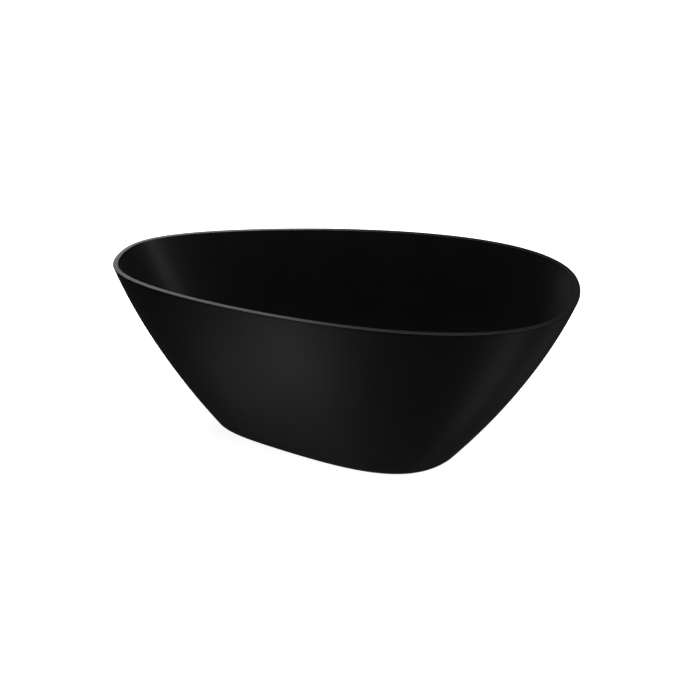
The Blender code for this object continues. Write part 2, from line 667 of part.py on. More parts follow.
def make_plug(black, rubber, brass, steel):
    """Push plug, shown down: cap and seal on a stem that slides in the cartridge, over a spring."""
    place = Matrix.Translation(DRAIN)
    bore = STEM_RADIUS + FIT_GAP
    cartridge_low = BOSS_TOP + FIT_GAP
    well = cartridge_low + CARTRIDGE_FLOOR
    cartridge = [(CARTRIDGE_RADIUS, cartridge_low), (CARTRIDGE_RADIUS, CARTRIDGE_TOP)]
    cartridge.extend([(bore, CARTRIDGE_TOP), (bore, well)])
    turned("plug_cartridge", cartridge, brass, place, True, SMALL_SEGMENTS)

    brim = FLANGE_TOP + CAP_SEAT_GAP
    crown = brim + CAP_CROWN
    core_low = brim - CAP_CORE_DEPTH
    hub_low = brim - CAP_HUB_DEPTH
    socket = brim + 0.0010
    cap = [(bore, socket), (bore, hub_low), (CAP_HUB_RADIUS, hub_low), (CAP_HUB_RADIUS, core_low)]
    cap.extend([(TAIL_BORE, core_low), (TAIL_BORE, brim), (CAP_RADIUS, brim), (CAP_RADIUS, brim + 0.0014)])
    cap.extend([(CAP_RADIUS - 0.0030, brim + 0.0032), (CAP_RADIUS * 0.6, crown - 0.0006)])
    cap.append((CAP_RADIUS * 0.2, crown))
    turned("plug_cap", cap, black, place, True)

    groove = TAIL_BORE + FIT_GAP
    seal_low = brim - 0.0022
    seal = [(groove, seal_low), (TAIL_BORE + 0.0025, seal_low), (TAIL_BORE + 0.0037, brim - FIT_GAP)]
    seal.append((groove, brim - FIT_GAP))
    turned("plug_seal", seal, rubber, place)

    low = DRAIN + Vector((0.0, 0.0, well + FIT_GAP))
    high = DRAIN + Vector((0.0, 0.0, socket - FIT_GAP))
    rod("plug_stem", STEM_RADIUS, low, high, brass, SMALL_SEGMENTS)

    start = CARTRIDGE_TOP + SPRING_WIRE_RADIUS + FIT_GAP
    end = hub_low - SPRING_WIRE_RADIUS - FIT_GAP
    turn = np.linspace(0.0, 2 * math.pi * SPRING_TURNS, int(10 * SPRING_TURNS) + 1)
    rise = np.linspace(start, end, len(turn))
    path = np.stack([SPRING_RADIUS * np.cos(turn), SPRING_RADIUS * np.sin(turn), rise], axis=1)
    tube = swept_rings(path, SPRING_WIRE_RADIUS, 5)
    add_object("plug_spring", ring_mesh("plug_spring", tube, closed=False), steel, matrix=place)


def swept_rings(path, radius, segments):
    """Circles across a path, each turned to face along it."""
    along = np.gradient(path, axis=0)
    along /= np.linalg.norm(along, axis=1)[:, None]
    side = np.cross(along, (0.02, 0.05, 1.0))
    side /= np.linalg.norm(side, axis=1)[:, None]
    up = np.cross(side, along)
    rings = []
    for turn in 2 * math.pi * np.arange(segments) / segments:
        rings.append(path + radius * (math.cos(turn) * side + math.sin(turn) * up))
    return list(np.stack(rings, axis=1))


# ---------------------------------------------------------------- trap
def make_trap(plastic, rubber):
    """Shallow bottle trap: its inlet hangs on the waste body by a union nut, its outlet points to -X."""
    place = Matrix.Translation(DRAIN)
    throat = INLET_RADIUS - INLET_WALL
    collar = INLET_RADIUS + INLET_COLLAR
    seal_top = WASTE_OUTLET_END - FIT_GAP
    seal_low = seal_top - TRAP_SEAL_THICKNESS
    seal = [(throat, seal_low), (collar, seal_low), (collar, seal_top), (throat, seal_top)]
    turned("trap_seal", seal, rubber, place)

    collar_top = seal_low - FIT_GAP
    collar_low = collar_top - INLET_COLLAR_HEIGHT
    inner = TRAP_RADIUS - TRAP_WALL
    ceiling = TRAP_ROOF - TRAP_WALL
    section = [(throat, collar_top), (collar, collar_top), (collar, collar_low), (INLET_RADIUS, collar_low)]
    section.extend([(INLET_RADIUS, TRAP_ROOF), (TRAP_RADIUS, TRAP_ROOF), (TRAP_RADIUS, TRAP_BOTTOM)])
    section.extend([(inner, TRAP_BOTTOM), (inner, ceiling), (INLET_RADIUS, ceiling)])
    section.extend([(INLET_RADIUS, INLET_DIP), (throat, INLET_DIP)])
    trap = turned("trap_body", section, plastic, place)
    axis = DRAIN + Vector((0.0, 0.0, OUTLET_HEIGHT))
    start = axis - Vector((inner + TRAP_WALL / 2, 0.0, 0.0))
    end = axis - Vector((OUTLET_REACH, 0.0, 0.0))
    combine(trap, rod("trap_spigot", OUTLET_RADIUS, start, end, plastic), "UNION")
    inside = axis - Vector((inner - 0.006, 0.0, 0.0))
    outside = end - Vector((0.002, 0.0, 0.0))
    drill(trap, OUTLET_RADIUS - OUTLET_WALL, inside, outside, ROUND_SEGMENTS)

    nut_low = collar_low - UNION_LIP
    nut_high = WASTE_OUTLET_END + UNION_RISE
    lip = INLET_RADIUS + FIT_GAP
    thread = WASTE_OUTLET_RADIUS + FIT_GAP
    ledge = collar_low - FIT_GAP
    nut = [(UNION_RADIUS, nut_low), (UNION_RADIUS, nut_high), (thread, nut_high), (thread, ledge)]
    nut.extend([(lip, ledge), (lip, nut_low)])
    turned("trap_union_nut", nut, plastic, place)

    cup_inner = TRAP_RADIUS + FIT_GAP
    cup_outer = cup_inner + CUP_WALL
    cup_floor = TRAP_BOTTOM - 0.0005
    cup_low = cup_floor - CUP_FLOOR
    cup_top = cup_low + CUP_HEIGHT
    cup = [(cup_outer, cup_low), (cup_outer, cup_top), (cup_inner, cup_top), (cup_inner, cup_floor)]
    turned("trap_cleaning_cup", cup, plastic, place, True)

    backwards = Vector((-1.0, 0.0, 0.0)).to_track_quat("Z", "Y").to_matrix().to_4x4()
    end_place = Matrix.Translation(end + Vector((OUTLET_NUT_INSET, 0.0, 0.0))) @ backwards
    grip = OUTLET_RADIUS + FIT_GAP
    seal_edge = grip + OUTLET_SEAL_WIDTH
    seal_back = -OUTLET_SEAL_LENGTH
    rubber_ring = [(grip, seal_back), (seal_edge, seal_back), (seal_edge, 0.0), (grip, 0.0)]
    turned("outlet_seal", rubber_ring, rubber, end_place)
    outside = grip + OUTLET_NUT_WALL
    inside = seal_edge + FIT_GAP
    outlet_nut = [(grip, -0.012), (outside, -0.012), (outside, 0.004), (inside, 0.004)]
    outlet_nut.extend([(inside, seal_back - FIT_GAP), (grip, seal_back - FIT_GAP)])
    turned("outlet_nut", outlet_nut, plastic, end_place)


# ---------------------------------------------------------------- overflow
def overflow_frame():
    """Frame on the basin's near wall above the waste: Z into the bath, Y up the wall."""
    place = wall_place(TUB_HEIGHT - OVERFLOW_DROP)
    fine = 5 * OUTLINE_POINTS
    point = Vector(near_side(basin_face(place, fine), DRAIN_X))
    above = Vector(near_side(basin_face(place - 0.01, fine), DRAIN_X))
    beside = Vector(near_side(basin_face(place, fine), DRAIN_X + 0.01))
    up = (above - point).normalized()
    side = (beside - point).normalized()
    inwards = side.cross(up).normalized()
    if inwards.y < 0:
        inwards.negate()
    up = inwards.cross(side).normalized()
    if up.z < 0:
        up.negate()
    side = up.cross(inwards)
    frame = Matrix((side, up, inwards)).transposed().to_4x4()
    frame.translation = point
    return frame


def make_overflow(frame, black, rubber, plastic, steel):
    """Slim overflow: a cover in the bath, a body behind the wall with its seal, and one screw."""
    neck = OVERFLOW_NECK_RADIUS
    wide = OVERFLOW_FLANGE_RADIUS
    back = -OVERFLOW_DEPTH
    seal_front = -BASIN_THICKNESS - 2 * FIT_GAP
    seal_back = seal_front - 0.002
    seal = [(neck + FIT_GAP, seal_back), (wide, seal_back), (wide, seal_front), (neck + FIT_GAP, seal_front)]
    turned("overflow_seal", seal, rubber, frame)

    plate_front = seal_back - FIT_GAP
    plate_back = plate_front - 0.002
    section = [(neck, back), (neck, plate_back), (wide, plate_back), (wide, plate_front), (neck, plate_front)]
    section.extend([(neck, -FIT_GAP), (neck - 0.003, -FIT_GAP), (neck - 0.003, back + 0.0015)])
    body = turned("overflow_body", section, plastic, frame, True)
    boss_section = [(0.005, back + 0.0007), (0.005, -0.003)]
    boss = turned("overflow_boss", boss_section, plastic, frame, True, SMALL_SEGMENTS)
    combine(body, boss, "UNION")
    start = frame @ Vector((0.0, -neck + 0.0015, -BARB_DEPTH))
    end = frame @ Vector((0.0, -BARB_LENGTH, -BARB_DEPTH))
    combine(body, rod("overflow_barb", BARB_RADIUS, start, end, plastic, SMALL_SEGMENTS), "UNION")
    inside = frame @ Vector((0.0, -neck + 0.006, -BARB_DEPTH))
    outside = frame @ Vector((0.0, -BARB_LENGTH - 0.002, -BARB_DEPTH))
    drill(body, BARB_RADIUS - PORT_WALL, inside, outside)
    thread = OVERFLOW_SCREW_RADIUS + FIT_GAP
    drill(body, thread, frame @ Vector((0.0, 0.0, back + 0.004)), frame @ Vector((0.0, 0.0, 0.002)))

    stand = OVERFLOW_COVER_STAND
    face = stand + 0.0042
    sink = stand + 0.0026
    cover = [(OVERFLOW_COVER_RADIUS, stand), (OVERFLOW_COVER_RADIUS, stand + 0.0012)]
    cover.extend([(OVERFLOW_COVER_RADIUS - 0.003, stand + 0.0032), (0.012, face), (0.0048, face)])
    cover.extend([(0.0048, sink), (thread, sink), (thread, -0.0025), (0.0055, -0.0025), (0.0055, stand)])
    turned("overflow_cover", cover, black, frame)
    head = sink + FIT_GAP
    shank = OVERFLOW_SCREW_RADIUS
    screw = [(0.0045, face), (0.0045, head), (shank, head), (shank, back + 0.0045)]
    turned("overflow_screw", screw, steel, frame, True, SMALL_SEGMENTS)


def make_overflow_hose(frame, material):
    """Hose from the overflow's barb down between the skins, in over the rail, to the waste body's port."""
    fine = 5 * OUTLINE_POINTS
    reach = Vector((0.0, 0.012, 0.0))
    start = frame @ Vector((0.0, -BARB_LENGTH + 0.013, -BARB_DEPTH))
    straight = frame @ Vector((0.0, -BARB_LENGTH - 0.010, -BARB_DEPTH))
    points = [start, straight]
    for height in (share * TUB_HEIGHT for share in HOSE_FALL_SHARES):
        skirt = near_side(skirt_ring(height, SKIRT_THICKNESS, fine), DRAIN_X)
        basin = near_side(basin_back(wall_place(height + 0.006), BASIN_THICKNESS, fine), DRAIN_X)
        points.append(Vector(((skirt + basin) / 2).tolist()))
    port = DRAIN + Vector((0.0, -PORT_END, PORT_HEIGHT))
    points.append(Vector((DRAIN_X, -HOSE_BEND_SHARE * BASE_WIDTH, PORT_HEIGHT + HOSE_BEND_RISE)))
    points.append(Vector((DRAIN_X, -HOSE_LEVEL_SHARE * BASE_WIDTH, PORT_HEIGHT)))
    points.append(port - reach)
    points.append(port + reach)
    path = smooth_path(points, 3)
    outer = swept_rings(path, HOSE_RADIUS, SMALL_SEGMENTS)
    inner = swept_rings(path, HOSE_RADIUS - HOSE_WALL, SMALL_SEGMENTS)
    add_object("overflow_hose", ring_mesh("overflow_hose", outer + inner[::-1]), material)


def smooth_path(points, steps):
    """Cubic curve through points, its slope at each point taken mostly from the nearer neighbour."""
    knots = np.array(points, dtype=float)
    gap = np.linalg.norm(np.diff(knots, axis=0), axis=1)[:, None]
    chord = np.diff(knots, axis=0) / gap
    inner = (gap[:-1] * chord[1:] + gap[1:] * chord[:-1]) / (gap[:-1] + gap[1:])
    slope = np.concatenate([chord[:1], inner, chord[-1:]])
    curve = []
    for number, length in enumerate(gap[:, 0]):
        share = (np.arange(steps) / steps)[:, None]
        start, end = knots[number], knots[number + 1]
        leave, arrive = length * slope[number], length * slope[number + 1]
        rise = 3 * share**2 - 2 * share**3
        bend = leave * share * (1 - share)**2 - arrive * share**2 * (1 - share)
        curve.append(start + (end - start) * rise + bend)
    curve.append(knots[-1:])
    return np.concatenate(curve)


# ---------------------------------------------------------------- assembly
for old in list(bpy.data.objects):
    bpy.data.objects.remove(old, do_unlink=True)

GUIDE = finish("guide", (0.8, 0.2, 0.2), 0.5)
MATT_BLACK = finish("matt_black_acrylic", (0.012, 0.012, 0.013), 0.42)
FITTING_BLACK = finish("matt_black_metal", (0.015, 0.015, 0.016), 0.38, 0.6)
ADHESIVE = finish("adhesive", (0.75, 0.74, 0.70), 0.6)
BOARD = finish("board", (0.45, 0.33, 0.20), 0.8)
STEEL = finish("galvanised_steel", (0.60, 0.61, 0.62), 0.42, 1.0)
ZINC = finish("zinc_plate", (0.72, 0.72, 0.70), 0.30, 1.0)
RUBBER = finish("black_rubber", (0.03, 0.03, 0.03), 0.75)
PLASTIC = finish("white_plastic", (0.80, 0.80, 0.79), 0.45)
BRASS = finish("brass", (0.70, 0.52, 0.25), 0.30, 1.0)
STAINLESS = finish("stainless_steel", (0.70, 0.70, 0.71), 0.25, 1.0)

overflow_place = overflow_frame()
make_basin_shell(MATT_BLACK, overflow_place)
make_outer_skirt(MATT_BLACK)
make_rim_bond(ADHESIVE)
floor_board = make_floor_board(BOARD)
make_rails(STEEL)
cross_members = make_cross_members(STEEL)
make_board_bolts(cross_members, floor_board, ZINC)
make_skirt_mounting(BOARD, STEEL, ZINC)
make_feet(cross_members, RUBBER, ZINC)
make_waste(FITTING_BLACK, RUBBER, PLASTIC)
make_plug(FITTING_BLACK, RUBBER, BRASS, STAINLESS)
make_trap(PLASTIC, RUBBER)
make_overflow(overflow_place, FITTING_BLACK, RUBBER, PLASTIC, STAINLESS)
make_overflow_hose(overflow_place, PLASTIC)
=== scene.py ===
"""Looks of a freestanding double-skin bathtub: shells, fittings, base frame, finishes and studio.

Metres, +Z up, broad end towards +X.  Every new piece stands where its CAD node stands.
"""

import json
import math

import bmesh
import bpy
import numpy as np
from mathutils import Matrix, Vector


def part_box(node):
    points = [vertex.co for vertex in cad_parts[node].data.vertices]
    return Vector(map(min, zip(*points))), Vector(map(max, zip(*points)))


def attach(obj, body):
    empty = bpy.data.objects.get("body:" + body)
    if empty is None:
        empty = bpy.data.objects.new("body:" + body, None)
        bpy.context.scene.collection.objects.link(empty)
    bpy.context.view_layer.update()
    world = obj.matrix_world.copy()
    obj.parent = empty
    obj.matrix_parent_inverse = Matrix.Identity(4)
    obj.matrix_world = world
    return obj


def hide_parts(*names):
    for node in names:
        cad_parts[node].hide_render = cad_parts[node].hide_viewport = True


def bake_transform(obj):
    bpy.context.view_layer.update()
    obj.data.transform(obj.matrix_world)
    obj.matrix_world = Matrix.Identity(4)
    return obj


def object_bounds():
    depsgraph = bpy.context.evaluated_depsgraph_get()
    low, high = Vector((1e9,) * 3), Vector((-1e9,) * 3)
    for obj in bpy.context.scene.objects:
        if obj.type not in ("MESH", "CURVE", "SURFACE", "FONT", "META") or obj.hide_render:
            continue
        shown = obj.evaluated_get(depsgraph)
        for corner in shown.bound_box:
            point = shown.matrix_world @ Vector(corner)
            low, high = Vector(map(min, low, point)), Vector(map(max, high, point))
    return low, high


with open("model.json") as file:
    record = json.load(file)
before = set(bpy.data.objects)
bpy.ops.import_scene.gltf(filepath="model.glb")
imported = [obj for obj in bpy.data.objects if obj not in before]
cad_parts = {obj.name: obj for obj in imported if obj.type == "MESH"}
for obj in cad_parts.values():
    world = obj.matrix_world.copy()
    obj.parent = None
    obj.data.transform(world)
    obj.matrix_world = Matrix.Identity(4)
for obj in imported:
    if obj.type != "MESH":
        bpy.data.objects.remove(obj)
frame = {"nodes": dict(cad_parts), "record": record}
CAD_LOW, CAD_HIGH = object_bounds()

# ------------------------------------------------------------------ sizes that the frame was made to
HEIGHT = 0.600
BASE_LENGTH, BASE_WIDTH, BASE_SHIFT = 0.905, 0.600, -0.004
RIM_FORM = (-0.078, 0.178, -0.096, -0.049)
BASE_FORM = (-0.030, 0.270, 0.080, -0.050)
SKIRT_BULGE, SKIRT_FOOT, SKIRT_LIFT, SKIRT_WALL = 0.42, 0.012, 0.003, 0.005
RIM_WIDTH, RIM_THICKNESS, RIM_EDGE, BASIN_WALL = 0.018, 0.006, 0.0015, 0.006
FLOOR_LENGTH, FLOOR_WIDTH, FLOOR_HEIGHT, FLOOR_FALL = 0.900, 0.420, 0.145, 0.006
WALL_BOW, WALL_BOW_DROP, CORNER_REACH = 0.36, 0.250, 0.62
GAP = 0.0003
DRAIN_X, DRAIN_HOLE, RECESS_RADIUS, RECESS_DEPTH = -0.100, 0.026, 0.040, 0.004
SEAT = FLOOR_HEIGHT - RECESS_DEPTH
UNDERSIDE = SEAT - BASIN_WALL
BOARD_BOTTOM = FLOOR_HEIGHT - BASIN_WALL - GAP - 0.012
TUBE, TUBE_WALL, TUBE_CORNER = 0.025, 0.002, 0.0035
CROSS_TOP = BOARD_BOTTOM - GAP
CROSS_BOTTOM = CROSS_TOP - TUBE
RAIL_TOP = CROSS_BOTTOM - GAP
OVERFLOW_DROP, OVERFLOW_HOLE = 0.120, 0.0212

TURN = 2 * math.pi
COLUMNS = 320
NUDGE = 1e-4


# ------------------------------------------------------------------ meshes from arrays
def quads_of(rows, columns, around=True, along=False):
    """Faces of a grid of points: each joins its neighbours across and down, wrapping where asked."""
    row = np.arange(rows if along else rows - 1)[:, None]
    column = np.arange(columns if around else columns - 1)[None, :]
    below, beside = (row + 1) % rows, (column + 1) % columns
    here, there = row * columns, below * columns
    return np.stack([here + column, here + beside, there + beside, there + column], axis=-1).reshape(-1, 4)


def joined(*parts):
    """Several (points, faces) sets as one, the later faces counted on from the earlier points."""
    points = np.concatenate([part[0].reshape(-1, 3) for part in parts])
    starts = np.cumsum([0] + [part[0].size // 3 for part in parts[:-1]])
    return points, np.concatenate([part[1] + start for part, start in zip(parts, starts)])


def grid(points, around=True, along=False):
    """A grid of points (rows, columns, 3) with its faces."""
    return points.reshape(-1, 3), quads_of(points.shape[0], points.shape[1], around, along)


def placed(part, place):
    """The points carried by a 4x4 place."""
    matrix = np.array(place, dtype=float)
    return part[0] @ matrix[:3, :3].T + matrix[:3, 3], part[1]


def shown(name, data):
    """A new object in the scene."""
    made = bpy.data.objects.new(name, data)
    bpy.context.scene.collection.objects.link(made)
    return made


def piece(name, part, material, body, nodes, slot, sharp):
    """A named object from points and faces, which stands for CAD nodes and moves with a body.

    Points that meet are merged, which closes seams and poles, and the faces are turned outwards.
    Without a body the piece is left for a blend between two bodies.
    """
    mesh = bpy.data.meshes.new(name)
    mesh.from_pydata(part[0], [], part[1].tolist())
    work = bmesh.new()
    work.from_mesh(mesh)
    bmesh.ops.remove_doubles(work, verts=work.verts, dist=1e-6)
    bmesh.ops.recalc_face_normals(work, faces=work.faces)
    work.to_mesh(mesh)
    work.free()
    mesh.shade_smooth()
    mesh.set_sharp_from_angle(angle=math.radians(sharp))
    mesh.materials.append(material)
    made = shown(name, mesh)
    if body:
        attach(made, body)
    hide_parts(*nodes)
    return made


# ------------------------------------------------------------------ profiles and turned bodies
def eased(profile, radius, steps=4, closed=True):
    """A profile with each corner P rounded: (1-t)^2 A + 2t(1-t) P + t^2 B, A and B up to radius from P.

    An open profile keeps its two ends.
    """
    corner = np.asarray(profile, dtype=float)
    radius = np.broadcast_to(radius, len(corner))[:, None]
    before, after = np.roll(corner, 1, axis=0) - corner, np.roll(corner, -1, axis=0) - corner
    reach_back = np.linalg.norm(before, axis=1)[:, None]
    reach_on = np.linalg.norm(after, axis=1)[:, None]
    start = corner + before / reach_back * np.minimum(radius, 0.45 * reach_back)
    end = corner + after / reach_on * np.minimum(radius, 0.45 * reach_on)
    t = np.linspace(0.0, 1.0, steps)[None, :, None]
    curve = (1 - t)**2 * start[:, None] + 2 * t * (1 - t) * corner[:, None] + t**2 * end[:, None]
    if closed:
        return curve.reshape(-1, 2)
    return np.concatenate([corner[:1], curve[1:-1].reshape(-1, 2), corner[-1:]])


def lathe(profile, columns=72, closed=True, shape=None):
    """Profile of (radius, height) carried round Z; shape(radius, height, angle) may change the radius."""
    angle = TURN * np.arange(columns) / columns
    radius = np.broadcast_to(profile[:, :1], (len(profile), columns))
    height = np.broadcast_to(profile[:, 1:], (len(profile), columns))
    if shape is not None:
        radius = shape(radius, height, angle[None, :])
    return grid(np.stack([radius * np.cos(angle), radius * np.sin(angle), height], axis=-1), along=closed)


def hexagon(radius, angle, corner_radius):
    """The lesser of a radius and the distance to a hexagon's side at that angle."""
    sector = np.mod(angle, TURN / 6) - TURN / 12
    return np.minimum(radius, corner_radius * math.cos(TURN / 12) / np.cos(sector))


def facing(direction, start):
    """Place at a point, with its Z along a direction."""
    return Matrix.Translation(start) @ Vector(direction).to_track_quat("Z", "Y").to_matrix().to_4x4()


def turned(profile, edge, place, columns=96, closed=True, shape=None):
    """Profile with its corners eased, turned round Z and put in its place."""
    return placed(lathe(eased(profile, edge, closed=closed), columns, closed, shape), place)


def rounded_bar(radius, start, end):
    """Round bar between two points with softened end edges."""
    length = (end - start).length
    profile = [(0.0, 0.0), (radius, 0.0), (radius, length), (0.0, length)]
    return turned(profile, 0.0003, facing(end - start, start), 24, closed=False)


def pipe(outer, inner, length, columns, place):
    """Plain tube along its place's Z."""
    return turned([(outer, 0.0), (outer, length), (inner, length), (inner, 0.0)], 0.0004, place, columns)


def washer(inner, outer, low, high, place):
    """Flat ring with softened edges."""
    return turned([(inner, low), (outer, low), (outer, high), (inner, high)], 0.0005, place)


def ribs(count, depth, low, high, least):
    """Grip ribs: the radius drops by depth between ribs wherever it is over least and low < height < high."""
    def shape(radius, height, angle):
        wave = 0.5 - 0.5 * np.cos(count * angle)
        inside = (radius > least) & (height > low) & (height < high)
        return radius - depth * wave**2 * inside
    return shape


def swept(path, radius, columns=20):
    """Circles square to a path, their radius one number or one for each point."""
    along = np.gradient(path, axis=0)
    along /= np.linalg.norm(along, axis=1)[:, None]
    side = np.cross(along, (0.02, 0.05, 1.0))
    side /= np.linalg.norm(side, axis=1)[:, None]
    up = np.cross(side, along)
    angle = TURN * np.arange(columns) / columns
    ring = np.cos(angle)[None, :, None] * side[:, None] + np.sin(angle)[None, :, None] * up[:, None]
    return path[:, None] + np.broadcast_to(radius, len(path))[:, None, None] * ring


def smooth_path(knots, steps):
    """Cubic curve through knots, its slope at each taken mostly from the nearer neighbour."""
    knots = np.asarray(knots, dtype=float)
    gap = np.linalg.norm(np.diff(knots, axis=0), axis=1)[:, None]
    chord = np.diff(knots, axis=0) / gap
    inner = (gap[:-1] * chord[1:] + gap[1:] * chord[:-1]) / (gap[:-1] + gap[1:])
    slope = np.concatenate([chord[:1], inner, chord[-1:]])
    t = (np.arange(steps) / steps)[None, :, None]
    start, end = knots[:-1, None], knots[1:, None]
    leave, arrive = (gap * slope[:-1])[:, None], (gap * slope[1:])[:, None]
    curve = start + (end - start) * (3 * t**2 - 2 * t**3) + leave * t * (1 - t)**2 - arrive * t**2 * (1 - t)
    return np.concatenate([curve.reshape(-1, 3), knots[-1:]])


# ------------------------------------------------------------------ grids with round holes
def pierced(rows, columns, holes, face):
    """Surface face(row value, column value) on a grid, with round holes.

    Each hole is (row index range, column index range, centre values, 2x2 step matrix, radius): the grid's
    faces in the ranges go, and rings run from the window's edge to a circle whose values are
    centre + matrix (radius cos, radius sin).  Returns the part and each hole's circle of points.
    """
    value = np.stack(np.meshgrid(rows, columns, indexing="ij"), axis=-1)
    faces = quads_of(len(rows), len(columns), around=False)
    keep = np.ones(len(faces), dtype=bool)
    band = np.arange(len(faces)) // (len(columns) - 1)
    file = np.arange(len(faces)) % (len(columns) - 1)
    parts, circles = [], []
    for (top, bottom), (left, right), centre, step, radius in holes:
        keep &= ~((band >= top) & (band < bottom) & (file >= left) & (file < right))
        edge = np.concatenate([value[top, left:right], value[top:bottom, right],
                               value[bottom, right:left:-1], value[bottom:top:-1, left]])
        away = (edge - centre) @ np.linalg.inv(step).T
        away /= np.linalg.norm(away, axis=1)[:, None]
        circle = centre + radius * away @ np.asarray(step).T
        share = np.linspace(0.0, 1.0, 7)[:, None, None]
        rings = edge + (circle - edge) * share
        parts.append((face(rings[..., 0], rings[..., 1]), quads_of(len(share), len(edge))))
        circles.append(circle)
    sheet = (face(value[..., 0], value[..., 1]), faces[keep])
    return joined(sheet, *parts), circles


def strip(first, second, around=True):
    """Faces between two rows of points."""
    return np.stack([first, second]), quads_of(2, len(first), around)


# ------------------------------------------------------------------ the tub's two skins
HALF = np.linspace(0.0, math.pi, 721)
EDGE_RISE = 1 - RIM_EDGE / HEIGHT
EDGE_SPREAD = (1 + SKIRT_BULGE) * EDGE_RISE - SKIRT_BULGE * EDGE_RISE**2
RIM_LENGTH = BASE_LENGTH + (CAD_HIGH.x - CAD_LOW.x - BASE_LENGTH) / EDGE_SPREAD
RIM_BREADTH = BASE_WIDTH + (CAD_HIGH.y - CAD_LOW.y - BASE_WIDTH) / EDGE_SPREAD


def egg(angle, length, width, form):
    """Egg outline: x = length/2 (cos a + s cos 3a)/(1 + s), y = width/2 b(a)/max b.

    Here b(a) = sin a (1 + f1 cos a + f2 cos 2a + f3 cos 3a), which leans the breadth to one end.
    """
    square, first, second, third = form

    def breadth(turn):
        lean = 1 + first * np.cos(turn) + second * np.cos(2 * turn) + third * np.cos(3 * turn)
        return np.sin(turn) * lean

    x = length / 2 * (np.cos(angle) + square * np.cos(3 * angle)) / (1 + square)
    y = width / 2 * breadth(angle) / breadth(HALF).max()
    return np.stack([x, y], axis=-1)


def base_plan(angle):
    """Outline of the tub where it meets the floor."""
    return egg(angle, BASE_LENGTH, BASE_WIDTH, BASE_FORM) + np.array([BASE_SHIFT, 0.0])


def rim_plan(angle):
    """Outline of the rim's outer edge."""
    return egg(angle, RIM_LENGTH, RIM_BREADTH, RIM_FORM)


def inset(plan, angle, distance):
    """An outline plan(angle) moved inwards by distance along its own normals."""
    tangent = plan(angle + NUDGE) - plan(angle - NUDGE)
    normal = np.stack([-tangent[..., 1], tangent[..., 0]], axis=-1)
    normal = normal / np.linalg.norm(normal, axis=-1, keepdims=True)
    return plan(angle) + np.asarray(distance)[..., None] * normal


def raised(plan, height):
    """Plan points at a height, one for all or one for each."""
    height = np.broadcast_to(height, plan.shape[:-1])
    return np.concatenate([plan, height[..., None]], axis=-1)


def skirt_face(height, angle, distance=0.0):
    """Skirt's outer face moved inwards: base + (rim - base)((1 + k) h - k h^2), with h the share of height.

    The lowest edge turns under on a quarter circle.
    """
    height, angle, distance = np.broadcast_arrays(height, angle, distance)
    rise = height / HEIGHT
    spread = ((1 + SKIRT_BULGE) * rise - SKIRT_BULGE * rise**2)[..., None]
    below = np.maximum(SKIRT_FOOT - height, 0.0)
    turned_under = SKIRT_FOOT - np.sqrt(SKIRT_FOOT**2 - below**2)

    def plan(turn):
        return base_plan(turn) + (rim_plan(turn) - base_plan(turn)) * spread
    return raised(inset(plan, angle, distance + turned_under), height)


def drain_ring(radius, height, angle):
    """Circle about the waste."""
    radius, height, angle = np.broadcast_arrays(radius, height, angle)
    return np.stack([DRAIN_X + radius * np.cos(angle), radius * np.sin(angle), height], axis=-1)


def basin_face(place, angle):
    """Basin's inner face: place 0 to 1 runs down the wall, 1 to 2 in along the floor to the waste recess.

    The wall's section is the cubic Bezier curve from the rim to the floor's outline with the bow and
    corner constants as its handles, and the floor is straight from that outline to the recess's circle.
    """
    place, angle = np.broadcast_arrays(place, angle)
    p, share = np.minimum(place, 1.0), np.clip(2 - place, 0.0, 1.0)
    r = 1 - p
    rim = inset(rim_plan, angle, RIM_WIDTH)
    floor = egg(angle, FLOOR_LENGTH, FLOOR_WIDTH, BASE_FORM)
    inwards = 3 * r**2 * p * WALL_BOW + 3 * r * p**2 * CORNER_REACH + p**3
    wall_height = r**3 * (HEIGHT - RIM_EDGE) + 3 * r**2 * p * (HEIGHT - WALL_BOW_DROP)
    wall_height = wall_height + (3 * r * p**2 + p**3) * (FLOOR_HEIGHT + FLOOR_FALL)
    recess = drain_ring(RECESS_RADIUS, 0.0, angle)[..., :2]
    plan = np.where((place <= 1.0)[..., None], rim + (floor - rim) * inwards[..., None],
                    recess + (floor - recess) * share[..., None])
    return raised(plan, np.where(place <= 1.0, wall_height, FLOOR_HEIGHT + FLOOR_FALL * share))


def basin_normal(place, angle):
    """Unit normal of the basin's inner face, towards the bather, by differences across and down it."""
    step = 0.004
    down = basin_face(np.minimum(place + step, 2.0), angle) - basin_face(np.maximum(place - step, 0.0), angle)
    across = basin_face(place, angle + NUDGE) - basin_face(place, angle - NUDGE)
    normal = np.cross(across, down)
    return normal / np.linalg.norm(normal, axis=-1, keepdims=True)


def basin_back(place, angle, distance=BASIN_WALL):
    """Basin's inner face moved outwards by distance along its normals."""
    return basin_face(place, angle) - distance * basin_normal(place, angle)


def solve(low, high, above, count=40):
    """Value between low and high at which above(value) turns false, by halving, for whole arrays at once."""
    for _ in range(count):
        middle = (low + high) / 2
        over = above(middle)
        low, high = np.where(over, middle, low), np.where(over, high, middle)
    return (low + high) / 2


def level_place(height, angle, distance):
    """Place down the wall, at each angle, where its face moved outwards by distance is at a height."""
    def above(place):
        return basin_back(place, angle, distance)[..., 2] > height
    return solve(np.zeros_like(angle), np.ones_like(angle), above)


def near_side(face, x):
    """Point of face(angle) at an x on the near side, and its angle."""
    angle = solve(np.array(math.pi), np.array(TURN - 0.3), lambda a: face(a)[..., 0] < x)
    return Vector(face(angle)), float(angle)


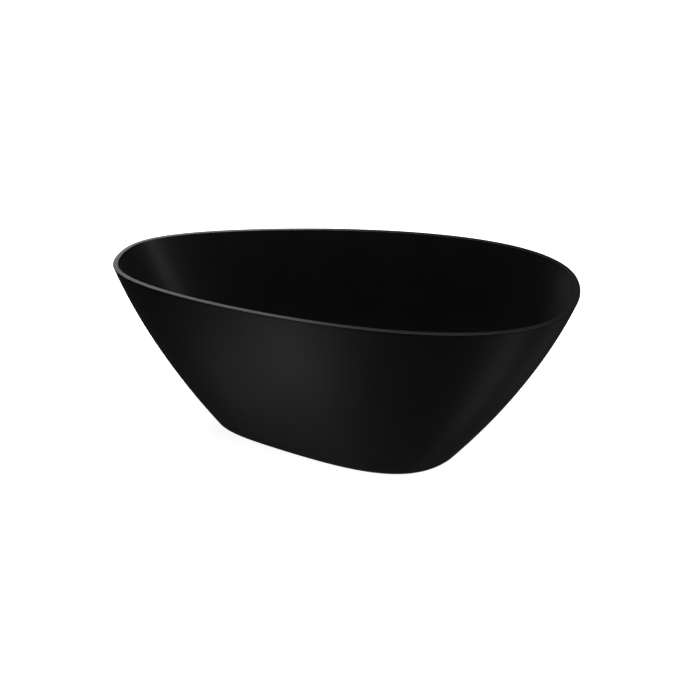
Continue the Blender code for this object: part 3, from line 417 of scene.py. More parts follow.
def overflow_place():
    """Frame on the basin's near wall above the waste, Z into the bath and Y up the wall, and its values."""
    place = float(level_place(HEIGHT - OVERFLOW_DROP, np.array(0.0), 0.0))
    point, angle = near_side(lambda a: basin_face(place, a), DRAIN_X)
    up = (near_side(lambda a: basin_face(place - 0.01, a), DRAIN_X)[0] - point).normalized()
    side = (near_side(lambda a: basin_face(place, a), DRAIN_X + 0.01)[0] - point).normalized()
    into = up.cross(side).normalized()
    into = into if into.y > 0 else -into
    up = into.cross(side).normalized()
    up = up if up.z > 0 else -up
    axes = Matrix((up.cross(into), up, into)).transposed().to_4x4()
    axes.translation = point
    return axes, place, angle


OVERFLOW, OVERFLOW_AT, OVERFLOW_ANGLE = overflow_place()


def basin_part():
    """Closed shell: rim, wall, floor, waste recess and hole, and the same way back 6 mm behind.

    The wall and its back are pierced by the overflow hole, whose edge joins the two.
    """
    angle = np.linspace(0.0, TURN, COLUMNS + 1)
    under = HEIGHT - RIM_THICKNESS
    t = np.linspace(0.0, math.pi / 2, 7)[:, None]
    side = skirt_face(np.array([under, under + 0.0004, HEIGHT - RIM_EDGE])[:, None], angle,
                      np.array([0.0005, 0.0, 0.0])[:, None])
    outer_edge = skirt_face(HEIGHT - RIM_EDGE, angle, RIM_EDGE * (1 - np.cos(t)))
    outer_edge[..., 2] += RIM_EDGE * np.sin(t)
    top = inset(rim_plan, angle, np.linspace(RIM_EDGE * 1.6, RIM_WIDTH - RIM_EDGE, 4)[:, None])
    top = raised(top, HEIGHT)
    t = np.linspace(0.0, 1.0, 7)[1:-1, None, None]
    corner = raised(inset(rim_plan, angle, RIM_WIDTH * 0.985), HEIGHT)
    inner_edge = (1 - t)**2 * top[-1] + 2 * t * (1 - t) * corner + t**2 * basin_face(0.0, angle)
    places = np.concatenate([np.linspace(0.0, 1.0, 61), np.linspace(1.0, 2.0, 25)[1:]])
    profile = eased([(RECESS_RADIUS, FLOOR_HEIGHT), (RECESS_RADIUS - 0.0008, FLOOR_HEIGHT - 0.0006),
                     (RECESS_RADIUS - 0.0018, SEAT), (DRAIN_HOLE, SEAT), (DRAIN_HOLE, UNDERSIDE),
                     (RECESS_RADIUS + BASIN_WALL, UNDERSIDE)], 0.0008, closed=False)
    recess = drain_ring(profile[:, :1], profile[:, 1:], angle)

    row = int(np.argmin(abs(places - OVERFLOW_AT)))
    column = int(np.argmin(abs(angle - OVERFLOW_ANGLE)))
    centre = np.array([OVERFLOW_AT, OVERFLOW_ANGLE])
    across = np.array(OVERFLOW.to_3x3().transposed())[:2]
    slope_place = basin_face(centre[0] + NUDGE, centre[1]) - basin_face(centre[0] - NUDGE, centre[1])
    slope_angle = basin_face(centre[0], centre[1] + NUDGE) - basin_face(centre[0], centre[1] - NUDGE)
    step = np.linalg.inv(across @ np.stack([slope_place, slope_angle], axis=1) / (2 * NUDGE))
    band = (column - 3, column + 3)
    window = ((row - 4, row + 4), band, centre, step, OVERFLOW_HOLE)
    front, circles = pierced(places, angle, [window], basin_face)

    top_place = level_place(under, angle, BASIN_WALL)
    shared = places[row - 6:]
    rows = np.linspace(0.0, 1.0, 12)[:-1, None]
    start = top_place + (shared[0] - top_place) * rows
    upper = basin_back(start, angle)
    shared = shared[shared < 1.9]
    window = ((6 - 4, 6 + 4), band, centre, step, OVERFLOW_HOLE)
    back, back_circles = pierced(shared, angle, [window], basin_back)
    upper = grid(np.concatenate([upper, basin_back(shared[:1, None], angle)]), around=False)
    underneath = grid(np.stack([basin_back(shared[-1], angle), recess[-1]]), around=False)
    rim = grid(np.concatenate([basin_back(top_place[None], angle), side, outer_edge[1:], top, inner_edge,
                               basin_face(0.0, angle)[None]]), around=False)
    hole = strip(basin_face(*circles[0].T), basin_back(*back_circles[0].T))
    return joined(rim, front, grid(recess, around=False), underneath, back, upper, hole)


def skirt_part():
    """Closed shell: the outer face from its turned-under foot to just under the rim, and 5 mm inside it."""
    angle = np.linspace(0.0, TURN, COLUMNS + 1)
    top = HEIGHT - RIM_THICKNESS - GAP
    lowest = math.asin(1 - SKIRT_LIFT / SKIRT_FOOT)
    foot = SKIRT_FOOT * (1 - np.sin(np.linspace(lowest, 0.0, 9)))[:-1]
    heights = np.concatenate([foot, np.linspace(SKIRT_FOOT, top - 0.001, 44)])
    outside = skirt_face(heights[:, None], angle)
    lip = skirt_face(np.array([top - 0.0003, top, top, top - 0.0003])[:, None], angle,
                     np.array([0.0, 0.0003, SKIRT_WALL - 0.0003, SKIRT_WALL])[:, None])
    inside = skirt_face(heights[::-1, None], angle, SKIRT_WALL)
    return grid(np.concatenate([outside, lip, inside]), around=False, along=True)


# ------------------------------------------------------------------ waste, plug and trap
DRAIN = Matrix.Translation((DRAIN_X, 0.0, 0.0))
FLANGE_SEAL, BODY_SEAL, TRAP_SEAL = 0.0012, 0.004, 0.003
FLANGE_RADIUS, FLANGE_LOW = 0.036, SEAT + FLANGE_SEAL + 2 * GAP
PLATE = FLANGE_LOW + 0.0020
BRIM = PLATE + 0.0005
TAIL_END, TAIL_BORE, TAIL_RADIUS = 0.114, 0.0215, 0.0245
CAP_RADIUS, CAP_CORE, CAP_HUB, HUB_RADIUS = 0.030, 0.0028, 0.0041, 0.0065
STEM_RADIUS, STEM_BORE, CARTRIDGE_LOW, CARTRIDGE_TOP, CARTRIDGE_RADIUS = 0.0033, 0.0036, 0.1203, 0.1335, 0.007
SPRING_RADIUS, SPRING_WIRE, SPRING_TURNS = 0.0052, 0.0005, 3.5
BODY_RADIUS, BODY_FLANGE = 0.042, 0.004
OUTLET_END, OUTLET_RADIUS = 0.082, 0.0205
HOSE_RADIUS, HOSE_WALL, BARB = 0.0078, 0.0015, 0.0060
PORT_HEIGHT, PORT_END = RAIL_TOP + HOSE_RADIUS + 0.002, 0.062
INLET_RADIUS, INLET_THROAT, INLET_COLLAR, COLLAR_HEIGHT, INLET_DIP = 0.018, 0.0145, 0.020, 0.0025, 0.018
TRAP_RADIUS, TRAP_WALL, TRAP_BOTTOM, TRAP_ROOF = 0.036, 0.003, 0.010, 0.064
UNION_RADIUS, UNION_LIP, UNION_RISE = 0.029, 0.006, 0.010
SPIGOT_RADIUS, SPIGOT_WALL, SPIGOT_HEIGHT, SPIGOT_REACH = 0.017, 0.0025, 0.046, 0.125


def at_drain(height):
    """Point on the waste's axis."""
    return Vector((DRAIN_X, 0.0, height))


def waste_flange_part():
    """Flange with a dished seat, its tail tube, the cross of spokes inside and the cartridge's boss."""
    ring = eased([(FLANGE_RADIUS, FLANGE_LOW), (FLANGE_RADIUS, PLATE - 0.0004),
                  (FLANGE_RADIUS - 0.0015, PLATE), (CAP_RADIUS - 0.001, PLATE), (TAIL_BORE, PLATE - 0.0045),
                  (TAIL_BORE, TAIL_END), (TAIL_RADIUS, TAIL_END), (TAIL_RADIUS, FLANGE_LOW)], 0.0006)
    thread = threaded(0.00045, 0.0012, TAIL_END + 0.001, SEAT - 0.004, TAIL_RADIUS - 0.0004)
    tail = lathe(finer(ring, 0.0003, TAIL_RADIUS - 0.0004), 96, shape=thread)
    centre, spokes = at_drain(TAIL_END + 0.003), []
    for across in (Vector((1.0, 0.0, 0.0)), Vector((0.0, 1.0, 0.0))):
        reach = across * (TAIL_BORE + 0.001)
        spokes.append(rounded_bar(0.0020, centre - reach, centre + reach))
    boss = rounded_bar(0.0065, at_drain(TAIL_END + 0.0005), at_drain(TAIL_END + 0.006))
    return joined(placed(tail, DRAIN), boss, *spokes)


def threaded(depth, pitch, low, high, least):
    """Right-hand thread, between two heights and where the radius is over least.

    The radius drops by depth (1/2 + 1/2 cos(2 pi height / pitch - angle)).
    """
    def shape(radius, height, angle):
        phase = TURN * height / pitch - angle
        inside = (radius > least) & (height > low) & (height < high)
        return radius - depth * (0.5 + 0.5 * np.cos(phase)) * inside
    return shape


def finer(profile, step, least):
    """A closed profile with points added no further than step apart where its radius is over least."""
    after = np.roll(profile, -1, axis=0)
    length = np.linalg.norm(after - profile, axis=1)
    outer = np.minimum(profile[:, 0], after[:, 0]) > least
    count = np.where(outer, np.maximum(np.ceil(length / step), 1), 1).astype(int)
    number = np.arange(count.sum()) - np.repeat(np.cumsum(count) - count, count)
    share = (number / np.repeat(count, count))[:, None]
    return np.repeat(profile, count, axis=0) * (1 - share) + np.repeat(after, count, axis=0) * share


def plug_cap_part():
    """Low domed cap with a rolled rim and the hub that holds the stem."""
    crown, hub, core = BRIM + 0.0052, BRIM - CAP_HUB, BRIM - CAP_CORE
    t = np.linspace(1.0, 0.0, 22)
    dome = np.stack([t * (CAP_RADIUS - 0.0012), crown - 0.0022 * t**2.4 - 0.0008 * t**12], axis=1)
    lower = eased([(0.0, BRIM + 0.0010), (STEM_BORE, BRIM + 0.0010), (STEM_BORE, hub), (HUB_RADIUS, hub),
                   (HUB_RADIUS, core), (TAIL_BORE, core), (TAIL_BORE, BRIM), (CAP_RADIUS, BRIM),
                   (CAP_RADIUS, BRIM + 0.0018), (CAP_RADIUS - 0.0012, crown - 0.0030)], 0.0005, closed=False)
    return placed(lathe(np.concatenate([lower[:-1], dome]), 120, closed=False), DRAIN)


def waste_body_part():
    """Waste body: a flange under the basin, a conical bowl, the threaded outlet and the overflow's port."""
    top = UNDERSIDE - 2 * GAP - BODY_SEAL
    low = top - BODY_FLANGE
    wide, inner, throat = TAIL_RADIUS + 0.0055, TAIL_RADIUS + GAP, OUTLET_RADIUS - 0.003
    cone = PORT_HEIGHT - BARB - 0.0015
    ring = [(BODY_RADIUS, top), (BODY_RADIUS, low), (wide, low), (wide, cone), (OUTLET_RADIUS, cone - 0.007),
            (OUTLET_RADIUS, OUTLET_END), (throat, OUTLET_END), (throat, cone - 0.005), (inner, cone + 0.001),
            (inner, top)]
    grip = ribs(24, 0.0006, low + 0.0002, top - 0.0002, BODY_RADIUS - 0.0005)
    spout = barb(DRAIN_X, inner + 0.002, PORT_HEIGHT, PORT_END)
    return joined(turned(ring, 0.0008, DRAIN, shape=grip), spout)


def barb(x, root, height, reach):
    """Tube towards -Y, from a root to a reach, that takes the overflow's hose."""
    return pipe(BARB, BARB - HOSE_WALL, reach - root, 32, facing((0, -1, 0), (x, -root, height)))


def trap_part():
    """Bottle trap: dipping inlet tube, the bottle round it and the spigot on its side."""
    inner, ceiling = TRAP_RADIUS - TRAP_WALL, TRAP_ROOF - TRAP_WALL
    top = OUTLET_END - 2 * GAP - TRAP_SEAL
    ledge = top - COLLAR_HEIGHT
    ring = [(INLET_THROAT, top), (INLET_COLLAR, top), (INLET_COLLAR, ledge), (INLET_RADIUS, ledge),
            (INLET_RADIUS, TRAP_ROOF), (TRAP_RADIUS, TRAP_ROOF), (TRAP_RADIUS, TRAP_BOTTOM),
            (inner, TRAP_BOTTOM), (inner, ceiling), (INLET_RADIUS, ceiling), (INLET_RADIUS, INLET_DIP),
            (INLET_THROAT, INLET_DIP)]
    start = inner + TRAP_WALL / 2
    place = facing((-1, 0, 0), (DRAIN_X - start, 0.0, SPIGOT_HEIGHT))
    spigot = pipe(SPIGOT_RADIUS, SPIGOT_RADIUS - SPIGOT_WALL, SPIGOT_REACH - start, 72, place)
    within = SPIGOT_RADIUS - 0.001
    web = turned([(within, 0.002), (SPIGOT_RADIUS + 0.0025, 0.002), (SPIGOT_RADIUS, 0.008), (within, 0.008)],
                 0.0006, place, 72)
    return joined(turned(ring, 0.0022, DRAIN), spigot, web)


def ribbed_nut(radii, heights, count, depth, grip, place=DRAIN):
    """Plastic nut with grip ribs: radii are its outside, bore and throat, heights its foot, lip and top."""
    (outer, bore, throat), (low, lip, high) = radii, heights
    least = outer - depth / 2
    profile = [(throat, low), (outer, low), (outer, high), (bore, high), (bore, lip), (throat, lip)]
    ring = finer(eased(profile, 0.0009), 0.0015, least)
    return placed(lathe(ring, count * 8, shape=ribs(count, depth, *grip, least)), place)


# ------------------------------------------------------------------ overflow
COVER_STAND, COVER_RADIUS, COVER_SINK, OVERFLOW_BACK = 0.0045, 0.030, 0.0026, -0.0235
CUP_RADIUS, CUP_FLANGE, CUP_SEAL, CUP_BACK = 0.0205, 0.029, 0.002, 0.0015
BARB_DEPTH, BARB_LENGTH = -0.0160, 0.045
SCREW_HEAD, SCREW_SHANK, SCREW_HOLE = 0.0045, 0.0020, 0.0023
HOSE_PITCH, HOSE_RING, HOSE_STEP, HOSE_CUFF = 0.003, 0.0005, 0.0005, 0.022
HOSE_BENDS = ((-0.235, 0.035), (-0.175, 0.0), (-PORT_END - 0.012, 0.0), (-PORT_END + 0.012, 0.0))
HOSE_SMOOTHING = 12


def overflow_cover_part():
    """Domed cover that stands off the wall on a hub, with a countersink for its screw."""
    front = COVER_STAND + 0.0042
    t = np.linspace(0.0, 1.0, 14)
    radius = COVER_RADIUS - 0.0010 - (COVER_RADIUS - 0.0090) * t
    dome = np.stack([radius, front - 0.0016 * (1 - t)**2.6], axis=1)
    sink = COVER_STAND + COVER_SINK
    ring = [(0.0060, front), (SCREW_HEAD + GAP, front - 0.0003), (SCREW_HEAD + GAP, sink), (SCREW_HOLE, sink),
            (SCREW_HOLE, -0.0025), (0.0055, -0.0025), (0.0055, COVER_STAND), (COVER_RADIUS, COVER_STAND),
            (COVER_RADIUS, COVER_STAND + 0.0018), (COVER_RADIUS - 0.0008, front - 0.0018)]
    profile = np.concatenate([dome, eased(ring, 0.0004, closed=False)[1:-1]])
    return placed(lathe(profile, 96), OVERFLOW)


def socket_screw(head, seat, top, thread, length, place):
    """Turned screw with a domed head, a hexagon socket sunk in it and a fine thread."""
    radius = head / 2
    profile = [(0.0, top - 0.0009), (radius * 0.98, top - 0.0009), (radius * 1.1, top), (head, top - 0.0002),
               (head, seat), (thread, seat), (thread, length), (0.0, length)]

    def shape(r, height, angle):
        off_axis = r > 1e-6
        socket = (height < top - 0.00005) & (height > top - 0.0012) & (r < head * 0.6) & off_axis
        groove = 0.5 + 0.5 * np.cos(TURN * height / 0.0007 - angle)
        threaded_radius = r - 0.00025 * groove * ((height < seat - 0.0004) & off_axis)
        return np.where(socket, hexagon(r * 1.2, angle, radius * 1.05), threaded_radius)
    return turned(profile, 0.0002, place, 48, closed=False, shape=shape)


def overflow_body_part():
    """Cup behind the wall: its flange, floor, screw boss and the barb that takes the hose."""
    neck, front = CUP_RADIUS, -BASIN_WALL - 2 * GAP - CUP_SEAL - GAP
    back, inner, floor = front - 0.002, neck - 0.003, OVERFLOW_BACK + CUP_BACK
    ring = [(0.0, OVERFLOW_BACK), (neck, OVERFLOW_BACK), (neck, back), (CUP_FLANGE, back),
            (CUP_FLANGE, front), (neck, front), (neck, -GAP), (inner, -GAP), (inner, floor), (0.0, floor)]
    boss = [(0.005, OVERFLOW_BACK + 0.0007), (0.005, -0.003), (SCREW_HOLE, -0.003),
            (SCREW_HOLE, OVERFLOW_BACK + 0.0040)]
    spout = placed(barb(0.0, neck + 0.0005, BARB_DEPTH, BARB_LENGTH), OVERFLOW)
    return joined(turned(ring, 0.0006, OVERFLOW, closed=False), turned(boss, 0.0003, OVERFLOW, 32), spout)


def hose_path():
    """Hose's centre line: down from the barb between the skins, in over the rail, to the waste's port."""
    knots = [OVERFLOW @ Vector((0.0, 0.013 - BARB_LENGTH, BARB_DEPTH)),
             OVERFLOW @ Vector((0.0, -BARB_LENGTH - 0.010, BARB_DEPTH))]
    for height in (0.330, 0.250):
        place = level_place(height + 0.006, np.array(0.0), 0.0)
        skirt = near_side(lambda a: skirt_face(height, a, SKIRT_WALL), DRAIN_X)[0]
        knots.append((skirt + near_side(lambda a: basin_back(place, a), DRAIN_X)[0]) / 2)
    knots += [Vector((DRAIN_X, y, PORT_HEIGHT + rise)) for y, rise in HOSE_BENDS]
    return smooth_path(knots, 3)


def hose_part():
    """Corrugated hose: rings 0.5 mm deep and 3 mm apart along it, with plain cuffs at both ends."""
    coarse = hose_path()
    walked = np.concatenate([[0.0], np.cumsum(np.linalg.norm(np.diff(coarse, axis=0), axis=1))])
    length = np.linspace(0.0, walked[-1], int(walked[-1] / HOSE_STEP))
    path = np.stack([np.interp(length, walked, coarse[:, axis]) for axis in range(3)], axis=1)
    kernel = np.hanning(2 * HOSE_SMOOTHING + 1)
    padded = np.pad(path, ((HOSE_SMOOTHING, HOSE_SMOOTHING), (0, 0)), mode="reflect", reflect_type="odd")
    path = np.stack([np.convolve(padded[:, axis], kernel / kernel.sum(), mode="valid") for axis in range(3)],
                    axis=1)
    cuff = np.clip((np.minimum(length, walked[-1] - length) - HOSE_CUFF) / 0.004, 0.0, 1.0)
    depth = HOSE_RING * (0.5 - 0.5 * np.cos(TURN * length / HOSE_PITCH)) * cuff
    outer = swept(path, HOSE_RADIUS - depth, 20)
    inner = swept(path, HOSE_RADIUS - HOSE_WALL, 20)
    return grid(np.concatenate([outer, inner[::-1]]), along=True)


# ------------------------------------------------------------------ base frame and feet
PAD_HEIGHT, STUD_SEAT, STUD_RADIUS, NUT_RADIUS, NUT_HEIGHT = 0.022, 0.008, 0.006, 0.0110, 0.010
PITCH, STUD_HOLE, BOLT_HOLE = 0.00175, STUD_RADIUS + 0.0005, 0.0035


def box_centre(node):
    """Middle of a CAD node's box."""
    low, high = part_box(node)
    return (low + high) / 2


def pad_part(spot):
    """Ribbed rubber pad with a neck that holds the stud: a disc, a cone, the neck and its bore."""
    ring = [(0.0, 0.0), (0.0225, 0.0), (0.025, 0.0012), (0.025, 0.005), (0.0135, 0.0098), (0.013, PAD_HEIGHT),
            (STUD_HOLE, PAD_HEIGHT), (STUD_HOLE, STUD_SEAT - GAP), (0.0, STUD_SEAT - GAP)]
    return turned(ring, 0.0010, spot, 144, closed=False, shape=ribs(36, 0.0009, 0.0014, 0.0052, 0.0235))


def stud_part(spot):
    """M12 stud: a thread 0.7 mm deep at 1.75 mm a turn, chamfered ends, and the spanner hexagon low on it."""
    top = CROSS_TOP - TUBE_WALL - 0.0045
    height = np.arange(STUD_SEAT, top, PITCH / 7)
    edge = np.minimum(height - STUD_SEAT, top - height)
    radius = STUD_RADIUS - np.maximum(0.0010 - edge, 0.0)
    rod = np.concatenate([[(0.0, STUD_SEAT)], np.stack([radius, height], axis=1), [(0.0, height[-1])]])

    def thread(r, z, angle):
        saw = abs(np.mod(z / PITCH - angle / TURN, 1.0) - 0.5) * 2
        return np.maximum(np.minimum(r, STUD_RADIUS - 0.0007 * np.clip(1.25 * saw, 0, 1)), 0.0)
    low, high = PAD_HEIGHT + 0.0005, PAD_HEIGHT + 0.0095
    collar = [(0.0052, low), (0.0094, low), (0.0107, low + 0.0008), (0.0107, high - 0.0008), (0.0094, high),
              (0.0052, high)]
    spanner = turned(collar, 0.0002, spot, 72, shape=lambda r, z, angle: hexagon(r, angle, 0.0105))
    return joined(placed(lathe(rod, 36, closed=False, shape=thread), spot), spanner)


def nut_part(spot):
    """Hexagon lock nut: the lesser of a hexagon and a turned body chamfered at both ends."""
    top, bore = CROSS_BOTTOM - GAP, STUD_HOLE
    low = top - NUT_HEIGHT
    ring = [(bore + 0.0006, low), (0.0094, low), (0.0112, low + 0.0011), (0.0112, top - 0.0011),
            (0.0094, top), (bore + 0.0006, top), (bore, top - 0.0006), (bore, low + 0.0006)]
    return turned(ring, 0.0002, spot, 72, shape=lambda r, z, angle: hexagon(r, angle, NUT_RADIUS))


def rounded_square(share, half, corner):
    """Point at a share of the way round a square of half-width half with rounded corners.

    The point is the square's, with what lies beyond half - corner on both axes put on a circle.
    """
    turn = np.asarray(share) * 4
    along = (np.mod(turn, 1.0) * 2 - 1) * half
    face = np.floor(np.mod(turn, 4.0)).astype(int)
    across = np.choose(face, [along, np.full_like(along, half), -along, np.full_like(along, -half)])
    up = np.choose(face, [np.full_like(along, -half), along, np.full_like(along, half), -along])
    straight = half - corner
    core = np.stack([np.clip(across, -straight, straight), np.clip(up, -straight, straight)], axis=-1)
    away = np.stack([across, up], axis=-1) - core
    size = np.linalg.norm(away, axis=-1, keepdims=True)
    reach = np.where(size > 1e-12, corner / np.maximum(size, 1e-12), 0.0)
    return core + away * reach


def tube_part(node, along, holes=()):
    """Square steel tube with rounded corners, open at both ends, standing in a CAD tube's box.

    holes are (place along the tube, face 0 under or 2 on top, radius).
    """
    low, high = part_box(node)
    centre = (low + high) / 2
    length = high[along] - low[along]
    corners = np.add.outer(np.arange(4) / 4, (0.0, 0.03, 0.06, 0.19, 0.22, 0.25)).ravel()
    samples = np.unique(np.concatenate([np.linspace(0.0, 1.0, 41), corners]).round(6))
    places = np.linspace(-length / 2, length / 2, max(int(length / 0.010), 4))

    def face(half, corner):
        def at(place, share):
            section = rounded_square(share, half, corner)
            flat = np.stack([place, section[..., 0], section[..., 1]], axis=-1)
            if along == 1:
                flat = np.stack([-section[..., 0], place, section[..., 1]], axis=-1)
            return flat + np.array(centre)
        return at
    windows = []
    for place, side, radius in holes:
        row, share = int(np.argmin(abs(places - place))), 0.125 if side == 0 else 0.625
        column = [int(np.argmin(abs(samples - share - move))) for move in (-0.085, 0.085)]
        step = np.array([[1.0, 0.0], [0.0, 1.0 / (8 * TUBE / 2)]])
        windows.append(((row - 1, row + 1), tuple(column), np.array([place, share]), step, radius))
    outer_face, inner_face = face(TUBE / 2, TUBE_CORNER), face(TUBE / 2 - TUBE_WALL, TUBE_CORNER - TUBE_WALL)
    outer, circles = pierced(places, samples, windows, outer_face)
    inner, _ = pierced(places, samples, windows, inner_face)
    parts = [outer, inner]
    for end in (places[0], places[-1]):
        at = np.full_like(samples, end)
        parts.append(strip(outer_face(at, samples), inner_face(at, samples), around=False))
    for circle in circles:
        parts.append(strip(outer_face(*circle.T), inner_face(*circle.T)))
    return joined(*parts)


# ------------------------------------------------------------------ shader maths
class Wire:
    """One output of a shader; sums on it add Math nodes."""

    def __init__(self, finish, socket):
        self.finish = finish
        self.socket = socket

    def sum(self, operation, *others):
        sockets = dict(enumerate((self, *others)))
        return self.finish.wire("ShaderNodeMath", 0, {"operation": operation}, sockets)

    def __add__(self, other):
        return self.sum("ADD", other)

    def __sub__(self, other):
        return self.sum("SUBTRACT", other)

    def __mul__(self, other):
        return self.sum("MULTIPLY", other)

    def __rsub__(self, other):
        return self * -1.0 + other

    __radd__ = __add__
    __rmul__ = __mul__

    def clipped(self, low, high):
        """0 below low, 1 over high and a smooth step between them."""
        return self.finish.wire("ShaderNodeMapRange", "Result", {"interpolation_type": "SMOOTHSTEP"},
                                {"Value": self, "From Min": low, "From Max": high})


class Finish:
    """One procedural material on Object coordinates, in metres."""

    def __init__(self, name, metallic=0.0, specular=0.5):
        self.material = bpy.data.materials.new(name)
        self.material.use_nodes = True
        self.tree = self.material.node_tree
        self.shader = self.tree.nodes["Principled BSDF"]
        self.shader.inputs["Metallic"].default_value = metallic
        self.shader.inputs["Specular IOR Level"].default_value = specular
        self.place = self.wire("ShaderNodeTexCoord", "Object")

    def node(self, kind, settings=None, sockets=None):
        """Any node: its settings first, then the values or links of its sockets."""
        node = self.tree.nodes.new(kind)
        for key, value in (settings or {}).items():
            setattr(node, key, value)
        for key, value in (sockets or {}).items():
            if isinstance(value, Wire):
                self.tree.links.new(value.socket, node.inputs[key])
            else:
                node.inputs[key].default_value = value
        return node

    def wire(self, kind, output, settings=None, sockets=None):
        """One output of a new node."""
        return Wire(self, self.node(kind, settings, sockets).outputs[output])

    def height(self):
        """The Object coordinate Z."""
        return self.wire("ShaderNodeSeparateXYZ", "Z", sockets={0: self.place})

    def red(self, colour):
        """Red channel of a colour, one number for each cell."""
        return self.wire("ShaderNodeSeparateColor", 0, sockets={0: colour})

    def stretched(self, scale):
        """Object coordinates, scaled along the axes if asked."""
        if scale is None:
            return self.place
        return self.wire("ShaderNodeMapping", "Vector", sockets={"Vector": self.place, "Scale": scale})

    def noise(self, scale, detail=3.0, roughness=0.55, stretch=None, distortion=0.0):
        """Noise from 0 to 1 with that many features a metre, stretched along the axes if asked."""
        return self.wire("ShaderNodeTexNoise", 0, {"noise_dimensions": "3D"},
                         {"Vector": self.stretched(stretch), "Scale": scale, "Detail": detail,
                          "Roughness": roughness, "Distortion": distortion})

    def cells(self, scale, output="Distance", feature="F1", stretch=None):
        """Voronoi cells with that many a metre."""
        return self.wire("ShaderNodeTexVoronoi", output, {"feature": feature},
                         {"Vector": self.stretched(stretch), "Scale": scale})

    def colours(self, share, *stops):
        """Colour ramp: stops are (place, (red, green, blue))."""
        node = self.node("ShaderNodeValToRGB", sockets={"Fac": share})
        ramp = node.color_ramp
        while len(ramp.elements) < len(stops):
            ramp.elements.new(1.0)
        for element, (place, colour) in zip(ramp.elements, stops):
            element.position = place
            element.color = (*colour, 1.0)
        return Wire(self, node.outputs["Color"])

    def mix(self, share, first, second):
        """Two colours mixed by a share; a colour is a wire or three numbers."""
        first, second = (value if isinstance(value, Wire) else (*value, 1.0) for value in (first, second))
        return self.wire("ShaderNodeMix", 2, {"data_type": "RGBA"}, {0: share, 6: first, 7: second})

    def bump(self, *layers):
        """Bumps one on another: each layer is (height wire, distance in metres)."""
        normal = None
        for height, distance in layers:
            sockets = {"Height": height, "Distance": distance, "Strength": 1.0}
            if normal is not None:
                sockets["Normal"] = normal
            normal = self.wire("ShaderNodeBump", "Normal", sockets=sockets)
        return normal

    def surface(self, colour, roughness, *bumps, **others):
        """Links or sets the shader's sockets and returns the material.

        Bumps are (height wire, distance in metres), and other sockets are named with _ for a space.
        """
        sockets = {"Base Color": colour, "Roughness": roughness, **others}
        if bumps:
            sockets["Normal"] = self.bump(*bumps)
        for key, value in sockets.items():
            socket = self.shader.inputs[key.replace("_", " ")]
            if isinstance(value, Wire):
                self.tree.links.new(value.socket, socket)
            else:
                socket.default_value = value
        return self.material


# ------------------------------------------------------------------ finishes
def matt_acrylic():
    """Matt black sanitary acrylic: a fine even grain, slow waviness from forming, and a handled rim."""
    finish = Finish("matt_black_acrylic", specular=0.24)
    grain = finish.noise(1400.0, 2.0)
    mottle = finish.noise(9.0, 4.0, 0.6)
    smear = finish.noise(3.0, 3.0, 0.5, stretch=(1.0, 1.0, 0.35), distortion=0.6)
    specks = 1.0 - finish.cells(260.0).clipped(0.035, 0.075)
    rare = finish.noise(31.0, 1.0).clipped(0.60, 0.70)
    handled = finish.height().clipped(0.594, 0.599)
    colour = finish.colours(mottle, (0.35, (0.0022, 0.0022, 0.0023)), (0.65, (0.0030, 0.0030, 0.0031)))
    colour = finish.mix(specks * rare * 0.35, colour, (0.012, 0.012, 0.012))
    roughness = 0.455 + (mottle - 0.5) * 0.05 + (smear - 0.5) * 0.07 + (grain - 0.5) * 0.04 - handled * 0.06
    wave = finish.noise(11.0, 1.0)
    return finish.surface(colour, roughness, (wave, 0.00025), (grain, 0.00001))


def powder_black():
    """Satin black powder coat on the fittings: orange peel a millimetre across."""
    finish = Finish("black_powder_coat", specular=0.4)
    peel = finish.cells(900.0, feature="SMOOTH_F1")
    mottle = finish.noise(60.0, 3.0)
    water = finish.cells(70.0).clipped(0.18, 0.30)
    colour = finish.colours(mottle, (0.3, (0.006, 0.006, 0.0065)), (0.7, (0.009, 0.009, 0.0095)))
    roughness = 0.33 + (mottle - 0.5) * 0.12 + (1.0 - water) * 0.07
    return finish.surface(colour, roughness, (peel, 0.00002))


def galvanised():
    """Hot-dip galvanised steel: spangle in flat cells, drifting greys and a dull bloom."""
    finish = Finish("galvanised_steel", metallic=1.0)
    shade = finish.red(finish.cells(110.0, "Color"))
    bloom = finish.noise(16.0, 5.0, 0.6)
    streak = finish.noise(30.0, 3.0, stretch=(1.0, 1.0, 6.0))
    colour = finish.colours(shade * 0.7 + bloom * 0.3, (0.15, (0.38, 0.39, 0.41)), (0.55, (0.50, 0.51, 0.53)),
                            (0.9, (0.63, 0.64, 0.65)))
    colour = finish.mix(streak.clipped(0.56, 0.72) * 0.45, colour, (0.62, 0.61, 0.58))
    roughness = 0.34 + shade * 0.14 + bloom * 0.16
    return finish.surface(colour, roughness, (shade, 0.00003), (finish.noise(700.0, 2.0), 0.00002))


def zinc_plate():
    """Blue-bright zinc on fasteners: fine turning lines, iridescent drift and dulled crowns."""
    finish = Finish("zinc_plate", metallic=1.0)
    drift = finish.noise(90.0, 3.0)
    lines = finish.noise(260.0, 2.0, stretch=(1.0, 1.0, 9.0))
    colour = finish.colours(drift, (0.30, (0.58, 0.63, 0.70)), (0.50, (0.68, 0.69, 0.69)),
                            (0.70, (0.72, 0.68, 0.58)))
    roughness = 0.24 + (lines - 0.5) * 0.14 + drift.clipped(0.55, 0.8) * 0.14
    return finish.surface(colour, roughness, (lines, 0.00003))


def stainless():
    """Bright drawn stainless wire and screw heads with fine lines."""
    finish = Finish("stainless_steel", metallic=1.0)
    lines = finish.noise(900.0, 2.0, stretch=(1.0, 1.0, 0.2))
    drift = finish.noise(120.0, 2.0)
    colour = finish.colours(drift, (0.3, (0.56, 0.56, 0.57)), (0.7, (0.68, 0.68, 0.69)))
    return finish.surface(colour, 0.2 + (lines - 0.5) * 0.16, (lines, 0.00001))


